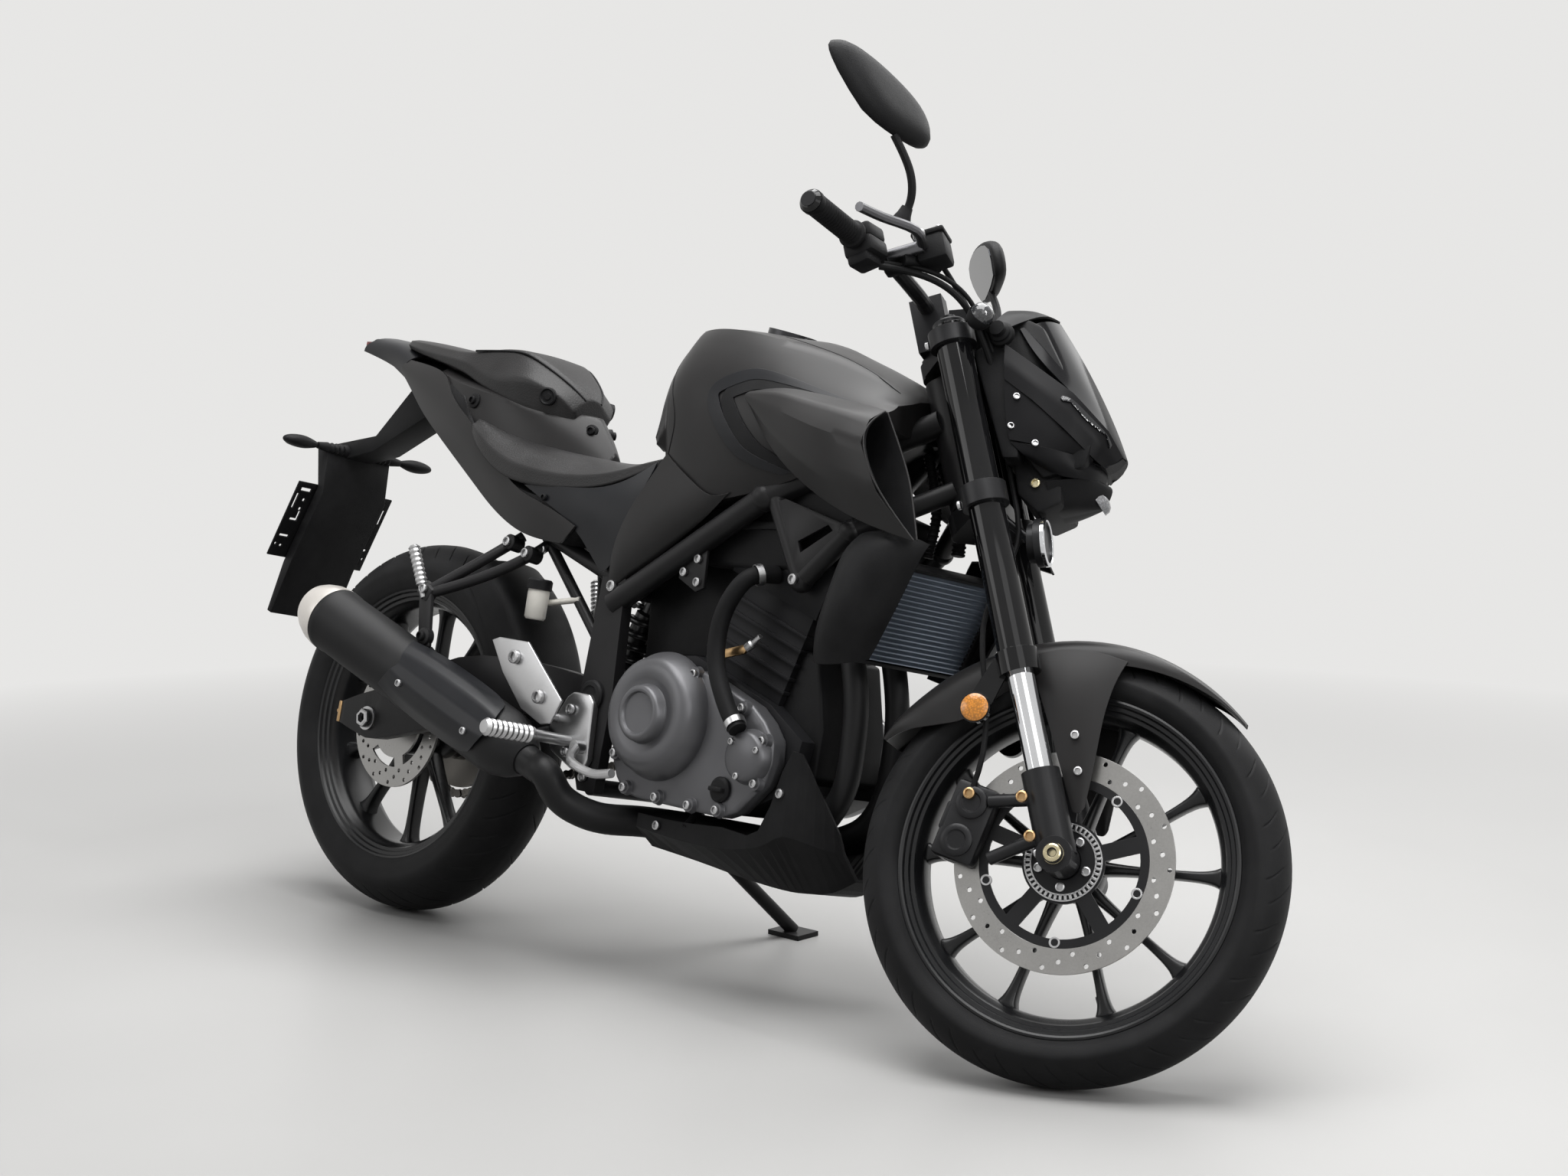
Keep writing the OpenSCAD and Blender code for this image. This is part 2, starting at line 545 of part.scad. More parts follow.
module crankcase() color("#26272a") parked() {
    difference() {
        side_plate([[574, 330], [610, 280], [850, 278], [945, 326], [956, 400],
            beside_cylinder(cylinder_depth + 2), beside_cylinder(-cylinder_depth - 2), [640, 492],
            [578, 440]], -case_half, case_half);
        translate([540, sprocket_y - 14, 320]) cube([120, 60, 158]);
    }
    translate([drive_at.x, sprocket_y - 20, drive_at.z]) axle_wise() cylinder(r = 14, h = 22);
    translate([drive_at.x, sprocket_y, drive_at.z]) axle_wise()
        cylinder(r = drive_r + chain_gap - 0.8, h = sprocket_t);
}
fin_count = 5;
fin_pitch = 22;
fin_out = 4;
head_half = brace_low.y - brace_r - lug_swell - 0.3;
module cylinder_head() color("#232427") parked() translate(cylinder_at)
    rotate([0, cylinder_tilt, 0]) union() {
        translate([-cylinder_depth, -head_half + 6, 0.1])
            cube([2 * cylinder_depth, 2 * head_half - 12, 140]);
        translate([-cylinder_depth - 10, -head_half, 139])
            cube([2 * cylinder_depth + 20, 2 * head_half, 76]);
        translate([-cylinder_depth - 60, 0, 176]) rotate([0, 90, 0]) cylinder(r = 27, h = 62);
        translate([-cylinder_depth - 40, -34, 160]) cube([22, 68, 34]);
        for (k = [0 : fin_count - 1]) translate([-cylinder_depth - fin_out, -head_half + 6 - fin_out,
            18 + fin_pitch * k]) cube([2 * (cylinder_depth + fin_out), 2 * (head_half - 6 + fin_out), 5]);
        translate([-58, -44, 214]) cube([116, 88, 12]);
    }
clutch_x = 700;
clutch_z = 402;
case_bosses = [[618, 336], [650, 288], [720, 283], [790, 281], [848, 282], [915, 330], [918, 392],
    [868, 434], [760, 472]];
module clutch_cover() color("#3b3c40") parked() {
    side_plate([[604, 330], [640, 276], [850, 272], [925, 330], [930, 395], [880, 440],
        [770, 478], [650, 470], [606, 420]], -case_half - 34, -case_half - 0.1);
    translate([clutch_x, -case_half - 33, clutch_z]) rotate([90, 0, 0])
        cylinder(r1 = 92, r2 = 78, h = 38);
    translate([clutch_x, -case_half - 70, clutch_z]) rotate([90, 0, 0]) cylinder(r = 40, h = 14);
    translate([clutch_x, -case_half - 83, clutch_z]) rotate([90, 0, 0]) difference() {
        cylinder(r = 36, h = 5);
        translate([0, 0, 1]) cylinder(r = 30, h = 6);
    }
    for (p = case_bosses) translate([p.x, -case_half - 33, p.y]) rotate([90, 0, 0])
        cylinder(r = 9, h = 7);
    translate([892, -case_half - 33, 366]) rotate([90, 0, 0]) cylinder(r = 36, h = 18);
}
module alternator_cover() color("#2c2d30") parked() {
    translate([842, case_half + 0.1, 380]) rotate([-90, 0, 0]) cylinder(r1 = 92, r2 = 80, h = 58);
    side_plate([[590, 350], [700, 330], [740, 420], [700, 470], [610, 460]], case_half + 0.1,
        case_half + 22);
}
radiator_tilt = 22;
radiator_at = [1072, 0, 594];
radiator_half_w = 128;
slat_pitch = 12;
module radiator() color("#5b626c") parked() translate(radiator_at) rotate([0, radiator_tilt, 0])
    union() {
        translate([-30, -radiator_half_w + 14, -72]) cube([30, 2 * radiator_half_w - 28, 144]);
        both_sides() translate([-32, radiator_half_w - 14.5, -76]) cube([34, 14, 152]);
        both_sides() translate([-120, 70, 30]) cube([92, 26, 20]);
        for (z = [-66 : slat_pitch : 66]) translate([-1, -radiator_half_w + 14, z - 2])
            cube([3.5, 2 * radiator_half_w - 28, 4]);
        translate([-14, 96, 71]) cylinder(r = 12, h = 22);
    }
module radiator_shrouds() color("#1b1c1e") parked() both_sides()
    side_plate([[1058, 690], [1108, 692], [1110, 640], [1066, 530], [1002, 522], [1020, 600]],
        radiator_half_w + 0.3, radiator_half_w + 20);
muffler_front = [470, -180, 302];
muffler_back = [-30, -206, 468];
muffler_r = 54;
muffler_dir = unit(muffler_back - muffler_front);
shield_turn = -150;
shield_sweep = 110;
shield_gap = 3;
shield_length = 230;
header_r = 19;
header_y = 46;
module exhaust_header() color("#17171a") parked() {
    both_sides() bent_tube([[948, header_y, 584], [974, header_y, 546], [1000, header_y, 470],
        [1008, header_y, 400], [1004, header_y, 340], [976, header_y, 290],
        [930, header_y * 0.8, 262], [885, header_y * 0.3, 244]], header_r);
    bent_tube([[900, 0, 242], [760, 0, 240], [660, -12, 238], [606, -48, 236], [566, -104, 232],
        [532, -150, 250], muffler_front - 50 * muffler_dir, muffler_front - 25 * muffler_dir,
        muffler_front - 0.6 * muffler_dir],
        header_r + 6);
}
module along_muffler() {
    rotate([0, acos(muffler_dir.z), atan2(muffler_dir.y, muffler_dir.x)]) children();
}
module muffler() color("#1a1a1c") parked() {
    rod(mix(muffler_front, muffler_back, 0.1), muffler_back, muffler_r);
    translate(muffler_front) along_muffler()
        cylinder(r1 = 30, r2 = muffler_r, h = norm(muffler_back - muffler_front) * 0.1 + 0.5);
    rod([462, -spar_y - 23, 350], mix(muffler_front, muffler_back, 0.12), 9);
    translate(mix(muffler_front, muffler_back, 0.12)) along_muffler() {
        difference() {
            rotate([0, 0, shield_turn]) rotate_extrude(angle = shield_sweep)
                translate([muffler_r + shield_gap, 0]) square([3, shield_length]);
            translate([0, 0, shield_length * 0.55]) rotate([0, 90, shield_turn + shield_sweep])
                cylinder(r = 22, h = 90);
        }
        for (k = [0.14, 0.8]) rotate([0, 0, shield_turn + shield_sweep / 2])
            translate([muffler_r - 4, 0, shield_length * k]) rotate([0, 90, 0]) cylinder(r = 7, h = 10);
    }
}
module muffler_cap() color("#9a9590") parked() {
    translate(muffler_back + 0.1 * muffler_dir) along_muffler() difference() {
        cylinder(r1 = muffler_r + 1, r2 = muffler_r - 14, h = 52);
        translate([0, 0, 20]) cylinder(r = 24, h = 40);
    }
}
// Tank sections: along, top, shoulder half width, shoulder height, half width, its height,
// low half width, low height
tank_rows = [[470, 846, 30, 842, 46, 828, 40, 814], [520, 905, 56, 890, 76, 850, 66, 808],
    [570, 985, 84, 962, 112, 890, 88, 804], [620, 1012, 98, 985, 136, 905, 100, 790],
    [700, 1008, 104, 978, 148, 900, 108, 778], [800, 990, 100, 960, 148, 890, 118, 780],
    [900, 962, 88, 934, 136, 884, 116, 828], [965, 936, 70, 914, 106, 896, 94, 872],
    [1006, 912, 44, 904, 62, 899, 58, 890]];
function tank_ring(row) = at_x(row[0], cut_corners(both_halves([[0, row[1]], [row[2], row[3]],
    [row[4], row[5]], [row[6], row[7]], [0, row[7]]]), 2));
module fuel_tank() color("#202225") parked() {
    loft([for (row = smooth_rows(tank_rows, 3)) tank_ring(row)]);
    both_sides() rod([720, 90, 800], [720, spar_y - 10, 692], 8);
}
cap_x = 712;
cap_z = 999.3;
cap_r = 38;
cap_tilt = 9;
module fuel_cap() color("#2a2b2e") parked() translate([cap_x, 0, cap_z]) rotate([0, cap_tilt, 0]) {
    cylinder(r = cap_r, h = 12);
    translate([cap_r - 4, -12, 2]) cube([10, 24, 8]);
}
// Scoop sections: along, top edge height, its distance out, belly height, belly distance,
// low edge height, its distance out
scoop_rows = [[738, 884, 152, 872, 154, 860, 152], [830, 886, 152, 835, 172, 772, 150],
    [930, 886, 152, 826, 186, 744, 152], [1030, 882, 152, 815, 190, 716, 154],
    [1092, 848, 154, 790, 182, 700, 154], [1150, 720, 156, 706, 164, 692, 156]];
scoop_t = 4;
function scoop_ring(row) = at_x(row[0], let (out = [[row[2], row[1]], [mix(row[2], row[4], 0.75),
    mix(row[1], row[3], 0.5)], [row[4], row[3]], [mix(row[4], row[6], 0.35), mix(row[3], row[5],
    0.55)], [row[6], row[5]]]) concat(out, [for (i = [len(out) - 1 : -1 : 0])
        [out[i].x - scoop_t, out[i].y]]));
module tank_scoops() color("#1f2023") parked() both_sides() {
    loft([for (row = smooth_rows(scoop_rows, 4)) scoop_ring(row)], true);
    rod([900, 118, 852], [900, 171, 852], 6);
}
module side_covers() color("#1e1f22") parked() both_sides()
    side_plate([[518, 600.6], [562, 601.2], [700, 690], [790, 747.9], [745, 755], [650, 770], [600, 772],
        [500, 725], [470, 690]], spar_y + 2, spar_y + 12);
// Seat sections: along, top, top half width, low, low half width
rider_rows = [[132, 840, 100, 820, 104], [220, 816, 122, 768, 130], [300, 800, 126, 733, 134],
    [400, 788, 114, 728, 128], [480, 787, 90, 732, 114], [544, 797, 66, 760, 90]];
pillion_rows = [[-226, 984, 16, 969.5, 18], [-120, 976, 56, 941.5, 62], [0, 964, 78, 917.5, 88],
    [110, 958, 98, 897.5, 108], [235, 949, 108, 860, 118], [300, 926, 102, 844, 116],
    [334, 888, 76, 850, 92]];
function seat_ring(row) = at_x(row[0], cut_corners(both_halves([[0, row[1] + 4], [row[2], row[1]],
    [row[4], mix(row[3], row[1], 0.35)], [row[4], row[3]], [0, row[3]]]), 1));
module rider_seat() color("#1c1c1d") parked()
    loft([for (row = smooth_rows(rider_rows, 3)) seat_ring(row)]);
module pillion_seat() color("#1c1c1d") parked()
    loft([for (row = smooth_rows(pillion_rows, 3)) seat_ring(row)]);
// Tail sections: along, top, top half width, middle, its half width, low, low half width
tail_rows = [[-300, 984, 20, 972, 26, 960, 18], [-163, 948, 48, 926, 54, 899, 42],
    [-40, 922, 78, 880, 84, 838, 70], [62, 900, 96, 840, 103, 776, 88],
    [130, 816, 102, 780, 110, 738, 95], [204, 772, 118, 735, 120, 694, 105],
    [300, 730, 128, 690, 130, 650, 112], [415, 726, 126, 684, 130, 638, 118],
    [446, 728, 118, 700, 122, 672, 112]];
tail_crown = 2;
function tail_ring(row) = at_x(row[0], cut_corners(both_halves([[0, row[1]],
    [row[2], row[1] - tail_crown], [row[4], row[3]], [row[6], row[5] + tail_crown], [0, row[5]]]), 1));
module tail_cowl() color("#1d1e20") parked()
    loft([for (row = smooth_rows(tail_rows, 3)) tail_ring(row)]);
module tail_lamp() color("#5a1518") parked() translate([-306, -34, 955]) cube([24, 68, 18]);
module plate_bracket() color("#1b1b1d") parked() {
    side_plate([[-150, 899], [-90, 868], [-110, 842], [-240, 776], [-330, 756], [-352, 764], [-352, 784],
        [-240, 804]], -30, 30);
    side_plate([[-318, 774], [-350, 774], [-330, 700], [-395, 560], [-420, 468], [-408, 464],
        [-372, 560], [-312, 690]], -70, 70);
    translate([-352, 0, 640]) rotate([0, 24, 0]) union() {
        translate([-16, -105, -86]) cube([4, 210, 150]);
        for (z = [-60, 30]) translate([-14, -12, z]) cube([26, 24, 20]);
    }
}
module rear_signals() color("#232326") parked() both_sides() {
    rod([-318, 29, 772], [-318, 92, 772], 6);
    translate([-318, 128, 772]) sphere(r = 19);
    rod([-318, 90, 772], [-318, 124, 772], 13);
}
// Swingarm and rear end
pivot = [pivot_x, 0, pivot_z];
arm_y = spar_y + 5;
arm_half = 12;
arm_out = arm_y + arm_half;
pivot_arm_y = spar_y - 12 - arm_half - 1;
// Arm sections: along, top, low, and how far from the axle's width in to the pivot's
right_arm_rows = [[-78, rear_r + 20, rear_r - 14, 0], [-30, rear_r + 38, rear_r - 26, 0],
    [30, rear_r + 58, rear_r - 30, 0], [205, 440, 330, 0.1], [360, 452, 372, 0.85],
    [pivot_x + 14, pivot_z + 22, pivot_z - 22, 1]];
left_arm_rows = [[-78, rear_r + 20, rear_r - 14, 0], [-30, rear_r + 32, rear_r - 28, 0],
    [30, rear_r + 36, rear_r - 30, 0], [205, 392, 318, 0.1], [360, 412, 366, 0.85],
    [pivot_x + 14, pivot_z + 18, pivot_z - 22, 1]];
function arm_ring(row, side) = let (y = mix(arm_y, pivot_arm_y, row[3]))
    at_x(row[0], [[side * (y - arm_half), row[1]], [side * (y + arm_half), row[1]],
        [side * (y + arm_half), row[2]], [side * (y - arm_half), row[2]]]);
module swingarm() color("#202124") parked() difference() {
    union() {
        loft([for (row = smooth_rows(right_arm_rows, 3)) arm_ring(row, -1)]);
        loft([for (row = smooth_rows(left_arm_rows, 3)) arm_ring(row, 1)]);
        rod([410, -pivot_arm_y, 404], [410, pivot_arm_y, 404], 20);
        rod(pivot - [0, spar_y - 12.2, 0], pivot + [0, spar_y - 12.2, 0], 21);
    }
    rod(rear_hub - [0, 200, 0], rear_hub + [0, 200, 0], axle_r + clamp_gap);
}
coil_count = 6;
module rear_shock() color("#2a2a2c") parked() {
    rod([452, 0, 432], [500, 0, 560], 26);
    for (k = [0 : coil_count]) rod(mix([452, 0, 432], [500, 0, 560], k / (coil_count + 0.5)),
        mix([452, 0, 432], [500, 0, 560], (k + 0.5) / (coil_count + 0.5)), 32);
    rod([440, 0, 410], [452, 0, 432], 14);
    rod([500, 0, 560], [534, 0, 586], 13);
}
module rear_axle() color("#b9bbbe") parked() translate(rear_hub) axle_wise() difference() {
    union() {
        cylinder(r = axle_r, h = 2 * arm_out + 20, center = true);
        for (s = side_pair) translate([0, 0, s > 0 ? arm_out + 0.5 : -arm_out - 10])
            cylinder(r = axle_r + 7, h = 9.5);
        for (s = side_pair) translate([0, 0, s > 0 ? rear_hub_half + 0.5 : -arm_y + arm_half + 0.5])
            cylinder(r = spacer_r, h = arm_y - arm_half - rear_hub_half - 1);
    }
    cylinder(r = axle_bore_r, h = 3 * arm_out, center = true);
}
module rear_caliper() color("#1c1d1f") parked() translate(rear_hub) rotate([0, -62, 0])
    union() {
        caliper(rear_disc_r, rear_disc_y, 24, 80);
        rod([rear_disc_r - 20, -84, 0], [rear_disc_r - 20, -arm_y + arm_half - 1, -20], 9);
    }
chain_h = 11;
chain_w = 16;
// The chain's run: a half turn round each sprocket, joined by straight runs.
chain_slope = atan2(drive_at.z - rear_r, drive_at.x);
chain_turn = asin((sprocket_r - drive_r) / norm([drive_at.x, drive_at.z - rear_r]));
function chain_arc(x, z, r, from, to, n) = [for (i = [0 : n]) let (a = mix(from, to, i / n))
    [x + r * cos(a), z + r * sin(a)]];
function chain_loop(r) = concat(
    chain_arc(0, rear_r, sprocket_r + r, chain_slope + 90 - chain_turn,
        chain_slope + 270 + chain_turn, 28),
    chain_arc(drive_at.x, drive_at.z, drive_r + r, chain_slope - 90 + chain_turn,
        chain_slope + 90 - chain_turn, 10));
module chain() color("#6d675c") parked() translate([0, drive_at.y + chain_w / 2, 0])
    rotate([90, 0, 0]) linear_extrude(chain_w) difference() {
        polygon(chain_loop(chain_gap + chain_h));
        polygon(chain_loop(chain_gap));
    }
module footrest_hangers() color("#8f9194") parked() both_sides()
    side_plate([[488, 408], [546, 408], [552, 310], [520, 300], [470, 322], [452, 350]],
        spar_y + 8.1, spar_y + 22);
module footrests() color("#8f9194") parked() both_sides() {
    rod([508, spar_y + 22.1, 340], [506, 205, 341], 9);
    rod([506, 205, 341], [498, 300, 345], 12);
    side_plate([[335, 476], [421, 481], [519, 400], [500, 360], [429, 377], [360, 440]],
        spar_y + 56, spar_y + 60);
    rod([470, spar_y + 20, 372], [470, spar_y + 57, 372], 7);
}
module foot_levers() color("#26272a") parked() {
    bent_tube([[540, -spar_y - 34, 334], [580, -190, 314], [640, -200, 302], [690, -206, 308]], 7);
    rod([540, -spar_y - 20, 334], [540, -spar_y - 40, 334], 10);
    bent_tube([[512, spar_y + 34, 316], [570, 168, 300], [640, 172, 300], [690, 180, 306]], 7);
    rod([512, spar_y + 20, 316], [512, spar_y + 40, 316], 10);
}
module pillion_brackets() color("#232427") parked() both_sides() {
    bent_tube([[268, 86, 650], [236, 140, 596], [178, 186, 540]], 9);
    bent_tube([[330, 86, 640], [300, 140, 582], [178, 188, 534]], 9);
    rod([172, 184, 532], [140, 204, 606], 10);
}
// Belly sections: along, side edge height, its half width, bend height, its half width, low
// height, low half width
belly_rows = [[650, 252, 100, 232, 100, 204, 60], [740, 252, 108, 226, 108, 196, 50],
    [840, 258, 114, 226, 112, 186, 46], [915, 264, 116, 240, 112, 182, 44],
    [958, 385, 116, 262, 110, 184, 42], [1000, 340, 100, 256, 88, 192, 34],
    [1034, 280, 76, 250, 60, 214, 24]];
belly_t = 4;
function belly_ring(row) = at_x(row[0], let (half = [[row[2], row[1]], [row[4], row[3]],
    [row[6], row[5]]], out = concat(half, [for (i = [2 : -1 : 0]) [-half[i].x, half[i].y]]))
    concat(out, [for (i = [len(out) - 1 : -1 : 0]) [out[i].x - sign(out[i].x) * belly_t,
        out[i].y + (i == 0 || i == 5 ? 0 : belly_t)]]));
module belly_pan() color("#1c1d20") parked() {
    loft([for (row = smooth_rows(belly_rows, 3)) belly_ring(row)], true);
    both_sides() rod([760, 107, 244], [760, 74, 284], 6);
}
module coolant_hose() color("#151516") parked()
    bent_tube([[846, -head_half - 2, 634], [830, -case_half - 34, 622], [806, -case_half - 48, 566],
        [810, -case_half - 52, 496], [846, -case_half - 54, 436], [880, -case_half - 56, 402]], 14);
module rear_reservoir() color("#c9c5b8") parked() {
    translate([364, -118, 520]) cylinder(r = 17, h = 56);
    rod([372, -100, 548], [430, -88, 560], 6);
}

// Side stand, drawn as parked so that its foot lies flat on the ground
module side_stand() color("#1a1a1c") difference() {
    union() {
        rod(stand_pivot, stand_foot + [0, 0, foot_t], stand_leg_r);
        translate(stand_foot + [-34, -24, 0]) cube([68, 48, foot_t]);
        rod(stand_pivot - stand_boss_half * stand_axis, stand_pivot + stand_boss_half * stand_axis,
            stand_boss_r);
    }
    rod(stand_pivot - 2 * stand_boss_half * stand_axis,
        stand_pivot + 2 * stand_boss_half * stand_axis, stand_pin_r + axle_gap);
}

front_tyre();
front_rim();
front_disc();
front_disc_carrier();
rear_tyre();
rear_rim();
rear_disc();
rear_sprocket();
yokes();
fork_outer_tubes();
fork_inner_tubes();
fork_lowers();
front_axle();
front_caliper();
front_fender();
handlebar();
grips();
switchgear();
brake_reservoir();
levers();
front_brake_hose();
mirrors();
headlamp_mask();
headlamp_lens();
instrument();
front_signals();
main_frame();
subframe();
crankcase();
cylinder_head();
clutch_cover();
alternator_cover();
radiator();
radiator_shrouds();
exhaust_header();
muffler();
muffler_cap();
fuel_tank();
fuel_cap();
tank_scoops();
side_covers();
rider_seat();
pillion_seat();
tail_cowl();
tail_lamp();
plate_bracket();
rear_signals();
swingarm();
rear_shock();
rear_axle();
rear_caliper();
chain();
footrest_hangers();
footrests();
foot_levers();
pillion_brackets();
belly_pan();
coolant_hose();
rear_reservoir();
side_stand();
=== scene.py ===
"""A naked road motorcycle, parked on its side stand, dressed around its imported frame.

Pieces are modelled in millimetres on the upright bike or along its fork, and set into the frame's
metres at the end, so that each one lies where the construction says.
"""

from __future__ import annotations

import json
import logging
import math
from dataclasses import dataclass, field
from enum import Enum
from functools import lru_cache
from typing import Callable, Iterable, Optional, Sequence, Union

import bpy
from mathutils import Matrix, Vector

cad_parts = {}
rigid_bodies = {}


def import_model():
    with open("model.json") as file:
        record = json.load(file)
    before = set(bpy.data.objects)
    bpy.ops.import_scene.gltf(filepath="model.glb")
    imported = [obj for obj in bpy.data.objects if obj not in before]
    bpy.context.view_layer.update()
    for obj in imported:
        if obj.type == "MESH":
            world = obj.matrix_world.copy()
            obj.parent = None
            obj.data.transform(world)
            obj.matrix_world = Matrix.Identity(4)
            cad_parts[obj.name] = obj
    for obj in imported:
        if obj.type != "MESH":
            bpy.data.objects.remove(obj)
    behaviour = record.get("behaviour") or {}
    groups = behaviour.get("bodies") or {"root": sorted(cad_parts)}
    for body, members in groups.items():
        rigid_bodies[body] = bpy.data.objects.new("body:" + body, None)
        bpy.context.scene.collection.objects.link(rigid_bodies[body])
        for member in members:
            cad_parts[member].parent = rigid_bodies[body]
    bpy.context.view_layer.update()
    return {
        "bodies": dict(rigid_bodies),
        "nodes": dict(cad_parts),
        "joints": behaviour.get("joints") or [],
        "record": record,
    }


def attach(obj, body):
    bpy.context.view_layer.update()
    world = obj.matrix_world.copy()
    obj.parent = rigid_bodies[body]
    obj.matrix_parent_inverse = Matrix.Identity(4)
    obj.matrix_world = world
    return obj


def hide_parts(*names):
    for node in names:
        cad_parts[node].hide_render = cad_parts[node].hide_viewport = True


LOG = logging.getLogger("motorcycle")
Piece = bpy.types.Object
Point = tuple[float, float, float]
Flat = tuple[float, float]
Bolt = tuple[Point, Point, float]
Grid = Sequence[Sequence[Point]]
Rings = Sequence[tuple[float, Sequence[Flat]]]
Strip = Sequence[tuple[Point, float]]
LEFT, RIGHT, UP = (0.0, 1.0, 0.0), (0.0, -1.0, 0.0), (0.0, 0.0, 1.0)
SIDES = (-1, 1)


class Body(Enum):
    """The moving bodies that carry pieces made here."""

    CHASSIS = "chassis"
    FORK = "fork"
    FRONT_WHEEL = "front_wheel"
    REAR_WHEEL = "rear_wheel"


class Edge(Enum):
    """The angle in degrees past which a piece's edges stay sharp."""

    CRISP = 30.0
    HARD = 32.0
    FIRM = 36.0
    SOFT = 40.0
    PADDED = 50.0
    ROUND = 60.0


class Socket:
    """A shader socket that takes part in Python arithmetic, each step of which adds a Math node."""

    def __init__(self, shader: Shader, socket: bpy.types.NodeSocket) -> None:
        """Keeps the socket and the shader it belongs to."""
        self.shader = shader
        self.socket = socket

    def math(self, operation: str, *others: Value) -> Socket:
        """A Math node's result, with this socket as its first value."""
        values = dict(enumerate((self, *others)))
        return self.shader.node("ShaderNodeMath", {"operation": operation}, values).out(0)

    def out(self, key: Union[int, str]) -> Socket:
        """Another output of the same node, by its name or number."""
        return Socket(self.shader, self.socket.node.outputs[key])

    def __add__(self, other: Value) -> Socket:
        """self + other."""
        return self.math("ADD", other)

    __radd__ = __add__

    def __mul__(self, other: Value) -> Socket:
        """self * other."""
        return self.math("MULTIPLY", other)

    __rmul__ = __mul__

    def __sub__(self, other: Value) -> Socket:
        """self - other."""
        return self.math("SUBTRACT", other)

    def __rsub__(self, other: float) -> Socket:
        """other - self."""
        return self.math("MULTIPLY", -1.0) + other

    def __truediv__(self, other: Value) -> Socket:
        """self / other."""
        return self.math("DIVIDE", other)

    def clamp(self, low: float = 0.0, high: float = 1.0) -> Socket:
        """self kept between two values."""
        return self.math("MAXIMUM", low).math("MINIMUM", high)


Value = Union[Socket, float]


class Shader:
    """The nodes of one material or of the world."""

    def __init__(self, owner: Union[bpy.types.Material, bpy.types.World]) -> None:
        """Empties a material's or a world's tree and adds its output."""
        self.owner = owner
        owner.use_nodes = True
        self.tree = owner.node_tree
        self.tree.nodes.clear()
        kind = "World" if isinstance(owner, bpy.types.World) else "Material"
        self.node(f"ShaderNodeOutput{kind}")
        self.output = self.tree.nodes[0]

    def node(self, kind: str, settings: Optional[dict] = None,
             sockets: Optional[dict] = None) -> Optional[Socket]:
        """Adds a node, sets it up and fills or links its sockets.

        Args:
            kind: The node's type.
            settings: Its settings, which are set first.
            sockets: Values or Socket links, by the sockets' names or numbers.

        Returns:
            The node's first output, if it has one.
        """
        made = self.tree.nodes.new(kind)
        for key, value in (settings or {}).items():
            setattr(made, key, value)
        for key, value in (sockets or {}).items():
            if isinstance(value, Socket):
                self.tree.links.new(value.socket, made.inputs[key])
            else:
                made.inputs[key].default_value = value
        return Socket(self, made.outputs[0]) if made.outputs else None

    def place(self) -> Socket:
        """Object coordinates, in metres."""
        return self.node("ShaderNodeTexCoord").out("Object")

    def coordinates(self, scale: Point = (1.0, 1.0, 1.0)) -> Socket:
        """Object coordinates, scaled by a Mapping node."""
        return self.node("ShaderNodeMapping", {}, {"Vector": self.place(), "Scale": scale})

    def noise(self, scale: float, detail: float = 2.0, where: Optional[Socket] = None) -> Socket:
        """Noise from 0 to 1 at a scale in waves per metre."""
        links = {"Vector": where or self.coordinates(), "Scale": scale, "Detail": detail}
        return self.node("ShaderNodeTexNoise", {}, links)

    def ramp(self, value: Socket, low: float, high: float) -> Socket:
        """0 at low, 1 at high and straight between them."""
        return ((value - low) / (high - low)).clamp()

    def mix(self, share: Socket, first: Point, second: Union[Point, Socket]) -> Socket:
        """A colour between two, by the second one's share."""
        ends = {6: (*first, 1.0), 7: second if isinstance(second, Socket) else (*second, 1.0)}
        return self.node("ShaderNodeMix", {"data_type": "RGBA"}, {0: share, **ends}).out(2)

    def bump(self, height: Socket, depth: float, normal: Optional[Socket] = None) -> Socket:
        """A Bump normal from a height in 0 to 1 that stands for depth metres."""
        links = {"Height": height, "Distance": depth, "Strength": 1.0}
        if normal:
            links["Normal"] = normal
        return self.node("ShaderNodeBump", {}, links)

    def edge(self, radius: float, samples: int = 4) -> Socket:
        """A normal that rounds sharp edges by a radius in metres."""
        return self.node("ShaderNodeBevel", {"samples": samples}, {"Radius": radius})

    def surface(self, **values: Union[Socket, float, Sequence[float]]) -> bpy.types.Material:
        """Ends the material in a Principled shader, its sockets named with _ for a space."""
        sockets = {key.replace("_", " "): value for key, value in values.items()}
        return self.end(self.node("ShaderNodeBsdfPrincipled", {}, sockets))

    def end(self, shade: Socket) -> Union[bpy.types.Material, bpy.types.World]:
        """Links a shader to the output and gives back what it belongs to."""
        self.tree.links.new(shade.socket, self.output.inputs["Surface"])
        return self.owner


